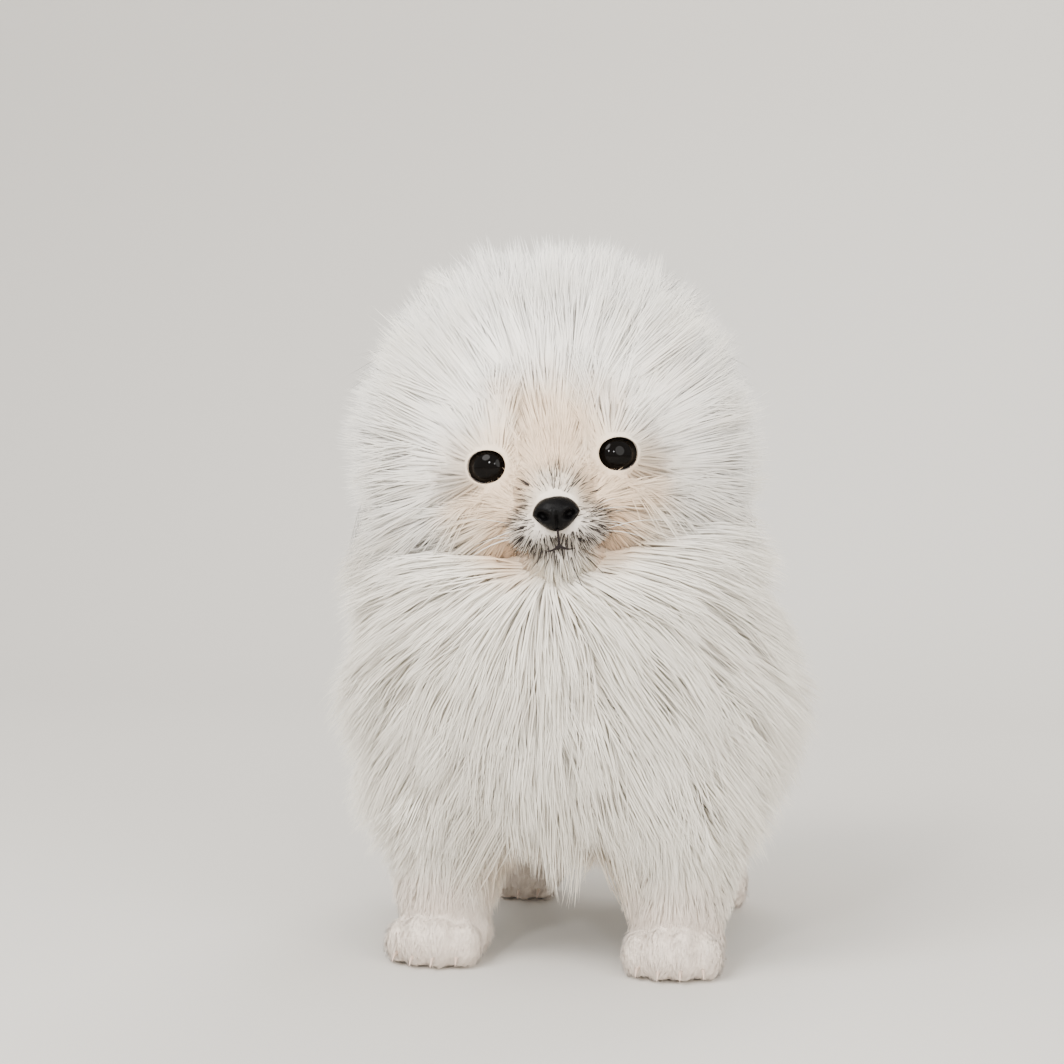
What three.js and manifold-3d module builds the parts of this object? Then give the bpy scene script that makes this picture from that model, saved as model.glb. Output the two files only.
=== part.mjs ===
// A pomeranian puppy standing square on four paws, life size, in millimetres.
// It faces -Y with +Z up, and its head is turned and tilted a little towards +X.
// Each coated part is a core that reaches half way up the coat, with flat, tapered locks
// rooted in it that lean along the lie of the coat and end on the outline of the coat.
import * as THREE from "three";
import { mergeVertices } from "three/addons/utils/BufferGeometryUtils.js";
import Module from "manifold-3d";

const wasm = await Module();
wasm.setup();

// Driving dimensions
const GAP = 0.3; // clearance between neighbouring parts
const LOCK_GAP = 0.5; // clearance round a lock, whose faces are less even
const CORE_SHARE = 0.5; // how far up the coat the core of a coated part reaches
const EYE_SPACING = 36.6; // between the centres of the two eyes
const EYE_RADIUS = 7.4;
const EYE_OPENING = [5.9, 5.1]; // half width and half height between the lids
const LID_THICKNESS = 1.4;
const NOSE_WIDTH = 14.4;
const NOSE_HEIGHT = 10.8;
const EAR_HEIGHT = 27;
const EAR_WIDTH = 19;
const HEAD_TURN = 11; // degrees towards +X
const HEAD_TILT = 5.7; // degrees, with the +X side raised
const FRONT_TRACK = 38; // from the middle plane to the middle of a front paw
const HIND_TRACK = 34;
const FRONT_PAW_Y = -46;
const HIND_PAW_Y = 54;
const PAW_WIDTH = 35;
const PAW_LENGTH = 36;

const WHITE = "#efe9dc";
const CREAM = "#e9d8c2";
const PINK = "#e8d3cb";
const BLACK = "#0d0c0d";

const vec = (x, y, z) => new THREE.Vector3(x, y, z);
const lerp = THREE.MathUtils.lerp;
const smooth = (x, low, high) => THREE.MathUtils.smoothstep(x, low, high);

// A seeded random number from 0 to 1, the same in every run.
let seed = 1;
function random() {
  seed = (seed * 16807) % 2147483647;
  return seed / 2147483647;
}
const vary = (share) => 1 + share * (2 * random() - 1);

// Solids

function solidOf(geometry) {
  const bare = geometry.clone();
  bare.deleteAttribute("normal");
  bare.deleteAttribute("uv");
  const merged = mergeVertices(bare, 1e-4);
  const triVerts = new Uint32Array(merged.index.array);
  const vertProperties = new Float32Array(merged.attributes.position.array);
  const solid = new wasm.Manifold(new wasm.Mesh({ numProp: 3, vertProperties, triVerts }));
  if (solid.volume() > 0) return solid;
  for (let i = 0; i < triVerts.length; i += 3)
    [triVerts[i + 1], triVerts[i + 2]] = [triVerts[i + 2], triVerts[i + 1]];
  return new wasm.Manifold(new wasm.Mesh({ numProp: 3, vertProperties, triVerts }));
}

function geometryOf(solid) {
  const { numProp, numVert, vertProperties, triVerts } = solid.getMesh();
  const positions = new Float32Array(numVert * 3);
  for (let i = 0; i < numVert; i++)
    positions.set(vertProperties.subarray(i * numProp, i * numProp + 3), i * 3);
  const geometry = new THREE.BufferGeometry();
  geometry.setAttribute("position", new THREE.BufferAttribute(positions, 3));
  geometry.setIndex(new THREE.BufferAttribute(new Uint32Array(triVerts), 1));
  geometry.computeVertexNormals();
  return geometry;
}

const largest = (solid) =>
  solid.decompose().reduce((best, part) => (part.volume() > best.volume() ? part : best));

const join = (solids) => solids.reduce((whole, part) => whole.add(part));

// A closed form over a sphere's grid: place(t, angle) gives the point at t from end to end.
function closedForm(sides, rings, place) {
  const geometry = new THREE.SphereGeometry(1, sides, rings);
  const { position, uv } = geometry.attributes;
  for (let i = 0; i < position.count; i++) {
    const t = 1 - uv.getY(i);
    const atPole = t < 1e-6 || t > 1 - 1e-6;
    const around = atPole ? 0 : (Math.round(uv.getX(i) * sides) % sides) / sides;
    const point = place(Math.round(t * rings) / rings, around * 2 * Math.PI);
    position.setXYZ(i, point.x, point.y, point.z);
  }
  return solidOf(geometry);
}

function ellipsoid(centre, radii, detail = 3, turn = new THREE.Quaternion()) {
  const geometry = new THREE.IcosahedronGeometry(1, detail);
  geometry.scale(radii.x, radii.y, radii.z).applyQuaternion(turn);
  geometry.translate(centre.x, centre.y, centre.z);
  return solidOf(geometry);
}

function block(centre, size) {
  const geometry = new THREE.BoxGeometry(size.x, size.y, size.z);
  geometry.translate(centre.x, centre.y, centre.z);
  return solidOf(geometry);
}

const BELOW_FLOOR = block(vec(0, 0, -100), vec(600, 600, 200));

// Coat: one smooth surface round a centre, from the skin (share 0) to the tips (share 1)

// Distance from a point along a direction to the far wall of an ellipsoid, or 0 if it misses.
function farWall(from, direction, { centre, radii }) {
  const d = direction.clone().divide(radii);
  const p = from.clone().sub(centre).divide(radii);
  const a = d.dot(d);
  const b = p.dot(d);
  const root = b * b - a * (p.dot(p) - 1);
  return root < 0 ? 0 : Math.max(0, (Math.sqrt(root) - b) / a);
}

const BLEND_POWER = 10; // how tightly overlapping masses run into each other
const reach = (from, direction, masses) =>
  Math.pow(
    masses.reduce((sum, mass) => sum + Math.pow(farWall(from, direction, mass), BLEND_POWER), 0),
    1 / BLEND_POWER,
  );

class Coat {
  constructor(centre, skin, tips, cover = () => 1) {
    Object.assign(this, { centre, skin, tips, cover });
  }
  radius(direction, share) {
    const inner = reach(this.centre, direction, this.skin);
    const outer = reach(this.centre, direction, this.tips);
    return inner + share * this.cover(direction) * Math.max(0, outer - inner);
  }
  point(direction, share) {
    return direction.clone().multiplyScalar(this.radius(direction, share)).add(this.centre);
  }
  normal(direction, share) {
    const across = vec(direction.y, direction.z, direction.x).cross(direction).normalize();
    const along = across.clone().cross(direction).normalize();
    const step = 0.05;
    const tangent = (side) => {
      const ahead = direction.clone().addScaledVector(side, step).normalize();
      const behind = direction.clone().addScaledVector(side, -step).normalize();
      return this.point(ahead, share).sub(this.point(behind, share));
    };
    const normal = tangent(across).cross(tangent(along)).normalize();
    return normal.dot(direction) < 0 ? normal.negate() : normal;
  }
  contains(point, grow = 0) {
    const out = point.clone().sub(this.centre);
    const distance = out.length();
    return distance < this.radius(out.normalize(), 1) + grow;
  }
  form(share, detail, grow = 0) {
    const geometry = new THREE.IcosahedronGeometry(1, detail);
    const { position } = geometry.attributes;
    const direction = vec(0, 0, 0);
    for (let i = 0; i < position.count; i++) {
      direction.fromBufferAttribute(position, i).normalize();
      const point = this.point(direction, share).addScaledVector(direction, grow);
      position.setXYZ(i, point.x, point.y, point.z);
    }
    return solidOf(geometry);
  }
}

const mass = (centre, radii) => ({ centre: vec(...centre), radii: vec(...radii) });

// Directions spread evenly over a sphere.
function* evenDirections(count) {
  const goldenTurn = Math.PI * (3 - Math.sqrt(5));
  for (let i = 0; i < count; i++) {
    const z = 1 - (2 * (i + 0.5)) / count;
    const flat = Math.sqrt(1 - z * z);
    yield vec(flat * Math.cos(i * goldenTurn), flat * Math.sin(i * goldenTurn), z);
  }
}

// Locks

const LOCK_SIDES = 3; // a ridge along the outer face, and a flat inner face
const LOCK_RINGS = 4;
const ROOT_DEPTH = 5; // how far a lock's root is sunk into its core

// A flat, tapered lock from a root, bending from the way it leaves to the way it lies.
function lock({ root, normal, lie, length, width, thickness }, grow = 0) {
  const start = root.clone().addScaledVector(normal, -ROOT_DEPTH);
  const bend = root.clone().addScaledVector(normal, length * 0.4);
  const tip = root.clone().addScaledVector(lie, length);
  const path = new THREE.QuadraticBezierCurve3(start, bend, tip);
  const side = lie.clone().cross(normal).normalize();
  return closedForm(LOCK_SIDES, LOCK_RINGS, (t, turn) => {
    const angle = turn + Math.PI / 2;
    const along = Math.max(0, (t * LOCK_RINGS - 1) / (LOCK_RINGS - 1));
    const tangent = path.getTangent(along);
    const ended = along < 1e-6 ? -grow : along > 1 - 1e-6 ? grow : 0;
    const centre = path.getPoint(along).addScaledVector(tangent, ended);
    if (t < 1e-6 || t > 1 - 1e-6) return centre;
    const up = side.clone().cross(tangent).normalize();
    const taper = Math.sqrt(1 - Math.pow(along, 1.7));
    return centre
      .addScaledVector(side, Math.cos(angle) * ((width * taper) / 1.7 + 4 * grow))
      .addScaledVector(up, Math.sin(angle) * ((thickness * taper) / 2 + 2 * grow));
  });
}

const LOCK_RISE = 0.55; // how steeply a lock rises from its core, against its run along it
const SHORTEST_LOCK = 14;
const LONGEST_LOCK = 52;

// Lays locks over the core of a coat, each as long as the coat is deep where it ends.
// lie gives the way the coat runs at a root, keep whether it carries a lock there, and
// clear whether a tip is out of the neighbouring parts.
function layLocks(coat, { count, width, lie, keep, clear = () => true }) {
  const laid = [];
  for (const even of evenDirections(count)) {
    const shift = vec(vary(1) - 1, vary(1) - 1, vary(1) - 1).multiplyScalar(0.09);
    const direction = even.add(shift).normalize();
    const root = coat.point(direction, CORE_SHARE);
    const [breadth, reachShare] = [width * vary(0.2), vary(0.06)];
    if (!keep(root, direction)) continue;
    const normal = coat.normal(direction, CORE_SHARE);
    const flow = lie(root, direction);
    flow.addScaledVector(normal, -flow.dot(normal)).normalize();
    flow.addScaledVector(normal, LOCK_RISE).normalize();
    let length = SHORTEST_LOCK;
    const tipAt = (reached) => root.clone().addScaledVector(flow, reached);
    while (length < LONGEST_LOCK && coat.contains(tipAt(length + 1)) && clear(tipAt(length + 1)))
      length += 1;
    length *= Math.min(1, reachShare);
    if (!clear(tipAt(length))) continue;
    laid.push({ root, normal, lie: flow, length, width: breadth, thickness: breadth * 0.3 });
  }
  return laid;
}

// Parts

// Limb: a closed tube along a path, with radii across (x) and along the body (y).
function limb(points, radii, sides, rings, grow = 0) {
  const path = new THREE.CatmullRomCurve3(points.map((p) => vec(...p)));
  const sizes = new THREE.CatmullRomCurve3(radii.map(([x, y]) => vec(x, y, 0)));
  return closedForm(sides, rings, (t, angle) => {
    const along = THREE.MathUtils.clamp((t * rings - 1) / (rings - 2), 0, 1);
    const centre = path.getPoint(along);
    const tangent = path.getTangent(along);
    if (t < 1e-6) return centre.addScaledVector(tangent, -grow);
    if (t > 1 - 1e-6) return centre.addScaledVector(tangent, grow);
    const size = sizes.getPoint(along);
    const side = vec(1, 0, 0).addScaledVector(tangent, -tangent.x).normalize();
    const front = tangent.clone().cross(side);
    return centre
      .addScaledVector(side, Math.cos(angle) * (size.x + grow))
      .addScaledVector(front, Math.sin(angle) * (size.y + grow));
  });
}

// Places on the head are given in its own frame: x to the dog's left, -y to the face, z up.
const headTurn = new THREE.Quaternion()
  .setFromAxisAngle(vec(0, 0, 1), THREE.MathUtils.degToRad(HEAD_TURN))
  .multiply(
    new THREE.Quaternion().setFromAxisAngle(vec(0, 1, 0), THREE.MathUtils.degToRad(-HEAD_TILT)),
  );
const SKULL_CENTRE = vec(-2.4, -38.4, 161.5);
const headPlace = new THREE.Matrix4().compose(SKULL_CENTRE, headTurn, vec(1, 1, 1));

const placeOnHead = (solid) => solid.transform(headPlace.elements);

const EYE_Y = -20.5;
const LID_RADIUS = EYE_RADIUS + GAP + LID_THICKNESS;
const EYE_Z = -1;
const eyeCentre = (side) => vec((side * EYE_SPACING) / 2, EYE_Y, EYE_Z);
const eyeGaze = (side) => vec(side * 0.28, -1, 0.02).normalize();
const NOSE_CENTRE = vec(0, -43, -16.5);
const MOUTH_Z = -26.5;

// How much coat a direction from the skull's centre carries: none on the face, all on the crown.
const FACE_AXIS = vec(0, -1, -0.3).normalize();
function headCover(direction) {
  const fromFace = THREE.MathUtils.radToDeg(direction.angleTo(FACE_AXIS));
  return smooth(fromFace, 42, 88);
}

const headCoat = new Coat(
  vec(0, 2, 2),
  [
    mass([0, 2, 2], [29, 31, 27]),
    mass([0, -10, -4], [30, 22, 22]),
    mass([0, -8, -12], [26, 20, 18]),
  ],
  [mass([0, 6, 0.5], [66, 58, 69])],
  headCover,
);

const LOWEST_LOCK = 17; // the lowest that a lock of the torso hangs
// The underside over a leg carries no locks.
const nearLeg = (root) => {
  const paws = [[FRONT_TRACK, FRONT_PAW_Y + 6], [HIND_TRACK, HIND_PAW_Y + 4]];
  return root.z < 50 && paws.some(([x, y]) =>
    Math.hypot(Math.abs(root.x) - x, root.y - y) < 20);
};

// The other coats are in the dog's frame.
const neckCoat = new Coat(
  vec(-2, -28, 112),
  [mass([-1, -28, 116], [25, 25, 34])],
  [mass([-2, -30, 114], [71, 58, 58])],
);

const torsoCoat = new Coat(
  vec(0, 14, 92),
  [
    mass([0, -18, 92], [34, 34, 33]),
    mass([0, 18, 93], [31, 40, 28]),
    mass([0, 46, 95], [29, 26, 29]),
  ],
  [
    mass([0, -32, 78], [81, 50, 52]),
    mass([0, 12, 86], [73, 60, 54]),
    mass([0, 44, 90], [65, 50, 50]),
  ],
);

// The mane stays clear of this space in front of the face.
const FACE_ROOM = mass([0, -44, 0], [36, 38, 38]);
const toHead = headPlace.clone().invert();
const inFaceRoom = (point, grow = 1) => {
  const local = point.clone().applyMatrix4(toHead).sub(FACE_ROOM.centre);
  return local.divide(FACE_ROOM.radii).length() < grow;
};
const insideCore = (coat, point) => {
  const out = point.clone().sub(coat.centre);
  const distance = out.length();
  return distance < coat.radius(out.normalize(), CORE_SHARE);
};

const headLocks = layLocks(headCoat, {
  count: 62,
  width: 28,
  lie: (root, direction) => {
    const away = direction.clone().addScaledVector(FACE_AXIS, -direction.dot(FACE_AXIS));
    return away.normalize().add(vec(0, 0.45, -0.2));
  },
  keep: (root, direction) => headCover(direction) > 0.4 && direction.z > -0.72,
  clear: (tip) => !insideCore(neckCoat, tip.clone().applyMatrix4(headPlace)),
});

const THROAT = vec(2, -62, 124);
const neckLocks = layLocks(neckCoat, {
  count: 62,
  width: 26,
  lie: (root) => root.clone().sub(THROAT).normalize().add(vec(0, 0.25, -0.9)),
  keep: (root, direction) =>
    direction.y < 0.75 &&
    direction.z < 0.62 &&
    !inFaceRoom(root, 1.1) &&
    !insideCore(torsoCoat, root) &&
    !insideCore(headCoat, root.clone().applyMatrix4(toHead)),
  clear: (tip) => !insideCore(torsoCoat, tip) && !inFaceRoom(tip, 1.05),
});

const torsoLocks = layLocks(torsoCoat, {
  count: 70,
  width: 34,
  lie: (root) => {
    const front = smooth(-root.y, 10, 50);
    const down = 0.4 + 0.7 * smooth(Math.abs(root.x), 5, 60) + front;
    return vec(root.x * 0.004, 1 - 0.9 * front, -down);
  },
  keep: (root) =>
    !neckCoat.contains(root, -24) &&
    !headCoat.contains(root.clone().applyMatrix4(toHead), -12) &&
    !nearLeg(root),
  clear: (tip) => tip.z > LOWEST_LOCK,
});

function eyeball(side) {
  return ellipsoid(eyeCentre(side), vec(1, 1, 1).multiplyScalar(EYE_RADIUS), 2);
}

// The lids are a thin shell round the eyeball, open in front.
function addLids(skull, side) {
  const centre = eyeCentre(side);
  const gaze = eyeGaze(side);
  const opening = new THREE.CylinderGeometry(EYE_OPENING[0], EYE_OPENING[0], 20, 16);
  opening.scale(1, 1, EYE_OPENING[1] / EYE_OPENING[0]);
  opening.applyQuaternion(new THREE.Quaternion().setFromUnitVectors(vec(0, 1, 0), gaze));
  const front = centre.clone().addScaledVector(gaze, 10);
  opening.translate(front.x, front.y, front.z);
  return skull
    .add(ellipsoid(centre, vec(1, 1, 1).multiplyScalar(LID_RADIUS), 2))
    .subtract(ellipsoid(centre, vec(1, 1, 1).multiplyScalar(EYE_RADIUS + GAP), 2))
    .subtract(solidOf(opening));
}

function muzzle(grow = 0) {
  const bridge = limb(
    [[0, -14, -9], [0, -26, -11], [0, -36, -14], [0, -42, -17]],
    [[16, 15], [13.5, 12.5], [10, 9.5], [7.5, 7]],
    12,
    7,
    grow,
  );
  const size = vec(8.4 + grow, 10.2 + grow, 7.2 + grow);
  const lip = (side) => ellipsoid(vec(side * 6.4, -34, -20.5), size, 2);
  return join([bridge, lip(1), lip(-1)]);
}

function lowerJaw(grow = 0) {
  const jaw = limb(
    [[0, -12, -25], [0, -22, -27.5], [0, -31, -28.5], [0, -38, -28]],
    [[15, 10], [12, 8], [9.5, 6.2], [5.5, 4]],
    12,
    8,
    grow,
  );
  const above = block(vec(0, -30, MOUTH_Z + 25 - GAP / 2 + grow), vec(80, 120, 50));
  return jaw.subtract(above);
}

function noseLeather(grow = 0) {
  const half = vec(NOSE_WIDTH / 2 + grow, 5 + grow, NOSE_HEIGHT / 2 + grow);
  const pad = closedForm(12, 8, (t, angle) => {
    const out = vec(Math.cos(angle) * Math.sin(t * Math.PI), -Math.cos(t * Math.PI), 0);
    out.z = Math.sin(angle) * Math.sin(t * Math.PI);
    const narrow = out.z < 0 ? 1 + 0.42 * out.z : 1; // narrower towards the lip
    return vec(out.x * half.x * narrow, out.y * half.y, out.z * half.z).add(NOSE_CENTRE);
  });
  if (grow > 0) return pad;
  const nostril = (side) =>
    ellipsoid(NOSE_CENTRE.clone().add(vec(side * 4.3, -4.2, -0.6)), vec(1.7, 2.6, 1.4), 1);
  const groove = block(NOSE_CENTRE.clone().add(vec(0, -5.2, -3.6)), vec(0.7, 2, 6));
  return pad.subtract(nostril(1)).subtract(nostril(-1)).subtract(groove);
}

// An ear stands up and out from the skull, cupped towards the front.
const EAR_ROOT = [20, 9, 22];
const EAR_RISE = vec(0.36, -0.05, 1).normalize();
const EAR_FRONT = vec(0.35, -1, -0.03).normalize();
const mirrored = (point, side) => vec(point.x * side, point.y, point.z);

function earForm(side, { grow = 0, cupped = true, window = 0 } = {}) {
  const rise = mirrored(EAR_RISE, side);
  const front = mirrored(EAR_FRONT, side);
  const across = rise.clone().cross(front).normalize();
  const root = vec(side * EAR_ROOT[0], EAR_ROOT[1], EAR_ROOT[2]);
  const shape = (scale, thickness, forward) =>
    closedForm(10, 6, (t, angle) => {
      const along = (1 - Math.cos(t * Math.PI)) / 2;
      const width = Math.sin(t * Math.PI) * (1 - 0.35 * along) * 1.15;
      const half = (scale * EAR_WIDTH * width) / 2;
      const ahead = Math.sin(angle) * (half * thickness + grow);
      return root
        .clone()
        .addScaledVector(rise, EAR_HEIGHT * (0.5 + (along - 0.5) * scale) + grow * (2 * along - 1))
        .addScaledVector(across, Math.cos(angle) * (half + grow))
        .addScaledVector(front, forward + ahead + (ahead > 0 ? window : 0));
    });
  const outside = shape(1, 0.42, 0);
  return cupped ? outside.subtract(shape(0.8, 0.42, 3)) : outside;
}

function headSolid() {
  let skull = join([headCoat.form(CORE_SHARE, 4), muzzle(), ...headLocks.map((l) => lock(l))]);
  for (const side of [1, -1]) {
    skull = addLids(skull, side).subtract(earForm(side, { grow: GAP, cupped: false }));
  }
  return skull.subtract(lowerJaw(GAP)).subtract(noseLeather(GAP));
}

// Legs and paws

function frontLeg(side, grow = 0) {
  const x = side * FRONT_TRACK;
  return limb(
    [[x * 0.86, -27, 72], [x * 0.95, -32, 56], [x, -37, 38], [x, -40, 15]],
    [[13, 13], [15, 15], [15.5, 16.5], [16, 16.5]],
    12,
    7,
    grow,
  );
}

function hindLeg(side, grow = 0) {
  const x = side * HIND_TRACK;
  return limb(
    [[x * 0.85, 44, 76], [x * 0.95, 52, 56], [x, 60, 36], [x, 59, 15]],
    [[17, 22], [17, 20], [14, 16], [14.5, 15.5]],
    14,
    8,
    grow,
  );
}

// Long hair hangs from round the top of each leg, over the outside of it.
const FRONT_LOCK_TURNS = [-125, -82, -38, 5, 48, 95]; // degrees round the leg from its outside
const HIND_LOCK_TURNS = [-70, -22, 26, 74, 122];
const LEG_LOCK_LENGTH = 30;
function layLegLocks(side, middle, turns) {
  return turns.map((turn) => {
    const angle = THREE.MathUtils.degToRad(turn * vary(0.05));
    const normal = vec(side * Math.cos(angle), Math.sin(angle), 0.15).normalize();
    const root = vec(side * middle.x, middle.y, middle.z).addScaledVector(normal, 14.5);
    const lie = vec(0, 0, -1).addScaledVector(normal, 0.36).normalize();
    const width = 24 * vary(0.12);
    const length = LEG_LOCK_LENGTH * vary(0.08);
    return { root, normal, lie, length, width, thickness: width * 0.3 };
  });
}

// A paw: four toes in front of a pad, flat where it stands on the floor.
function paw(x, y, turn, scale = 1) {
  const half = (PAW_WIDTH * scale) / 2;
  const length = PAW_LENGTH * scale;
  const pads = [ellipsoid(vec(0, length * 0.12, 9), vec(half * 0.95, length * 0.42, 12), 1)];
  const toes = 4;
  for (let i = 0; i < toes; i++) {
    const across = (i - (toes - 1) / 2) / ((toes - 1) / 2);
    const middle = 1 - Math.abs(across);
    const centre = vec(across * half * 0.62, -length * (0.2 + 0.16 * middle), 7 + 1.6 * middle);
    const size = vec(half * 0.4, length * 0.23, 9 + 1.5 * middle);
    pads.push(
      closedForm(8, 5, (t, angle) =>
        vec(Math.sin(angle) * Math.sin(t * Math.PI), -Math.cos(t * Math.PI),
          Math.cos(angle) * Math.sin(t * Math.PI)).multiply(size).add(centre)),
    );
  }
  return join(pads).rotate([0, 0, turn]).translate([x, y, 0]).subtract(BELOW_FLOOR);
}

// Tail: rises from the rump and lies forward over the back.
const TAIL_PATH = [[0, 62, 108], [0, 84, 130], [0, 80, 154], [0, 56, 160], [0, 34, 152]];
function tailForm(share, grow = 0) {
  const size = (skin, tips) => [lerp(skin, tips, share), lerp(skin, tips, share)];
  return limb(
    TAIL_PATH,
    [size(8, 12), size(7, 24), size(6, 28), size(5, 26), size(3, 14)],
    12,
    12,
    grow,
  );
}

// Assembly: each part is cut clear of those named before it.

const COLOURS = { nose: BLACK, eye_left: BLACK, eye_right: BLACK, head: WHITE, lower_jaw: WHITE };

// The tail's locks stand out all round it and lie towards its tip.
const TAIL_ROWS = 4;
const TAIL_LOCKS_A_ROW = 4;
function layTailLocks() {
  const path = new THREE.CatmullRomCurve3(TAIL_PATH.map((p) => vec(...p)));
  const laid = [];
  for (let row = 0; row < TAIL_ROWS; row++) {
    const along = 0.2 + (0.66 * row) / (TAIL_ROWS - 1);
    const [middle, tangent] = [path.getPoint(along), path.getTangent(along)];
    for (let i = 0; i < TAIL_LOCKS_A_ROW; i++) {
      const angle = ((i + (row % 2) / 2 + 0.15 * vary(1)) / TAIL_LOCKS_A_ROW) * 2 * Math.PI;
      const normal = vec(Math.cos(angle), 0, 0)
        .addScaledVector(vec(1, 0, 0).cross(tangent), Math.sin(angle))
        .normalize();
      const root = middle.clone().addScaledVector(normal, lerp(12, 7, along));
      const lie = tangent.clone().multiplyScalar(0.85).addScaledVector(normal, 0.55).normalize();
      const width = 26 * vary(0.15);
      laid.push({ root, normal, lie, length: 31 * vary(0.1), width, thickness: width * 0.3 });
    }
  }
  return laid;
}
const tailLocks = layTailLocks();

// Every part in order, each with a form that is larger by the gap to cut the later ones with.
function parts() {
  const made = new Map();
  const cutters = [];
  const add = (name, solid, cutter) => {
    const clear = cutters.reduce((rest, other) => rest.subtract(other), solid);
    made.set(name, largest(clear));
    if (cutter) cutters.push(cutter);
  };
  const coated = (coat, locks, detail, grow = 0, lockGrow = 0) =>
    join([coat.form(CORE_SHARE, detail, grow), ...locks.map((laid) => lock(laid, lockGrow))]);
  const lidRoom = (side) =>
    ellipsoid(eyeCentre(side), vec(1, 1, 1).multiplyScalar(LID_RADIUS + 2 * GAP), 2);
  const headRoom = join([
    coated(headCoat, headLocks, 4, GAP, LOCK_GAP), muzzle(GAP), lidRoom(1), lidRoom(-1),
    ellipsoid(FACE_ROOM.centre, FACE_ROOM.radii, 3),
  ]);
  const sides = [["left", 1], ["right", -1]];

  add("lower_jaw", placeOnHead(lowerJaw()), placeOnHead(lowerJaw(GAP)));
  add("nose", placeOnHead(noseLeather()), placeOnHead(noseLeather(GAP)));
  for (const [word, side] of sides) {
    add("eye_" + word, placeOnHead(eyeball(side)));
    const earRoom = earForm(side, { grow: GAP, cupped: false });
    add("ear_" + word, placeOnHead(earForm(side)), placeOnHead(earRoom));
  }
  add("head", placeOnHead(headSolid()), placeOnHead(headRoom));
  add("neck", coated(neckCoat, neckLocks, 3), coated(neckCoat, neckLocks, 3, GAP, LOCK_GAP));
  for (const [word, side] of sides) {
    const frontLocks = layLegLocks(side, vec(36.5, -32, 60), FRONT_LOCK_TURNS);
    const hindLocks = layLegLocks(side, vec(33, 53, 60), HIND_LOCK_TURNS);
    const haired = (leg, locks, grow) => join([leg, ...locks.map((laid) => lock(laid, grow))]);
    add("front_leg_" + word, haired(frontLeg(side), frontLocks, 0),
      haired(frontLeg(side, GAP), frontLocks, LOCK_GAP));
    add("hind_leg_" + word, haired(hindLeg(side), hindLocks, 0),
      haired(hindLeg(side, GAP), hindLocks, LOCK_GAP));
    add("front_paw_" + word, paw(side * FRONT_TRACK, FRONT_PAW_Y, side * 4));
    add("hind_paw_" + word, paw(side * HIND_TRACK, HIND_PAW_Y, side * 4, 0.92));
  }
  add("torso", coated(torsoCoat, torsoLocks, 3), coated(torsoCoat, torsoLocks, 3, GAP, LOCK_GAP));
  add("tail", join([tailForm(0), ...tailLocks.map((laid) => lock(laid))]));
  return made;
}

const dog = new THREE.Group();
for (const [name, solid] of parts()) {
  const color = COLOURS[name] ?? (name.includes("paw") ? PINK : CREAM);
  const roughness = color === BLACK ? 0.2 : 0.9;
  const mesh = new THREE.Mesh(
    geometryOf(solid),
    new THREE.MeshStandardMaterial({ color, roughness, metalness: 0 }),
  );
  mesh.name = name;
  dog.add(mesh);
}

// The origin is under the middle of the dog, at the floor.
const box = new THREE.Box3().setFromObject(dog);
const middle = box.getCenter(vec(0, 0, 0));
dog.position.set(-middle.x, -middle.y, -box.min.z);

export default dog;
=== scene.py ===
"""A fluffy white and cream pomeranian puppy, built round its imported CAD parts."""

import math

import bpy
import numpy as np
from bpy.props import FloatProperty, FloatVectorProperty, IntProperty, PointerProperty
from mathutils import Matrix, Vector, kdtree


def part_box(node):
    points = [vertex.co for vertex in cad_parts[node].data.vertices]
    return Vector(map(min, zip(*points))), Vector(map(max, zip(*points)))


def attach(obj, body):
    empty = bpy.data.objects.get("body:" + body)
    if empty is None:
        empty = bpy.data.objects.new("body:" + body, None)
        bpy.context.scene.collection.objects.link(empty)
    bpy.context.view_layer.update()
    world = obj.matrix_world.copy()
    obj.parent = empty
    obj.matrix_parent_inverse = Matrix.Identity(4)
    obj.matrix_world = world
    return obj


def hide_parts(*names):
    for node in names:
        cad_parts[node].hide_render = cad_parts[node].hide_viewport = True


bl_info = {
    "name": "Pomeranian Puppy",
    "version": (1, 0, 0),
    "blender": (4, 5, 0),
    "location": "View3D > Sidebar > Puppy",
    "description": "Builds a fluffy pomeranian puppy with skin, coat, eyes, nose and whiskers",
    "category": "Object",
}

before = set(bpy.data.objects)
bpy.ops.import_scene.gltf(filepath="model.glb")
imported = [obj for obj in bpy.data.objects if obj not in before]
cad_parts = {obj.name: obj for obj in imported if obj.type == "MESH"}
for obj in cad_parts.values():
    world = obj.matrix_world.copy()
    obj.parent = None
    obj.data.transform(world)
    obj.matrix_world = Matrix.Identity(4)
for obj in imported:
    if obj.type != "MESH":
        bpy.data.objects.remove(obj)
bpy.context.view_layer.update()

MM = 0.001

# Sizes below are in millimetres in the dog's own frame: +x to its left, -y to its face, z up.
HEAD_TURN = 11.0
HEAD_TILT = 5.7
SKULL = np.array((-2.4, -38.4, 161.5))
EYE = np.array((18.3, -20.5, -1.0))
EYE_RADIUS = 8.0
EYE_HALF = (6.8, 5.4)
NOSE = np.array((0.0, -43.0, -16.5))
FRONT_TRACK = 38.0
HIND_TRACK = 34.0
FRONT_PAW_Y = -46.0
HIND_PAW_Y = 54.0
PAW_WIDTH = 35.0
PAW_LENGTH = 36.0
PAW_TURN = 4.0
PAW_TOP = 17.0
HIND_PAW_SCALE = 0.92
SOLE = 0.4
SKIN_SHARE = 0.4
SKIN_GRAIN = 1.25
SKIN_SOFTENING = 4
EYE_BED = 1.5
EYE_PLAY = 0.1
GAZE = np.array((0.28, -1.0, 0.02))
OPENING_DEPTH = 9.0
OPENING_AHEAD = 5.5
LID_REACH = (-0.35, 1.5)
LID_RISE = 0.55
NOSE_SIZE = (7.2, 4.9, 5.4)
CLAW_RADIUS = 0.85
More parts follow.
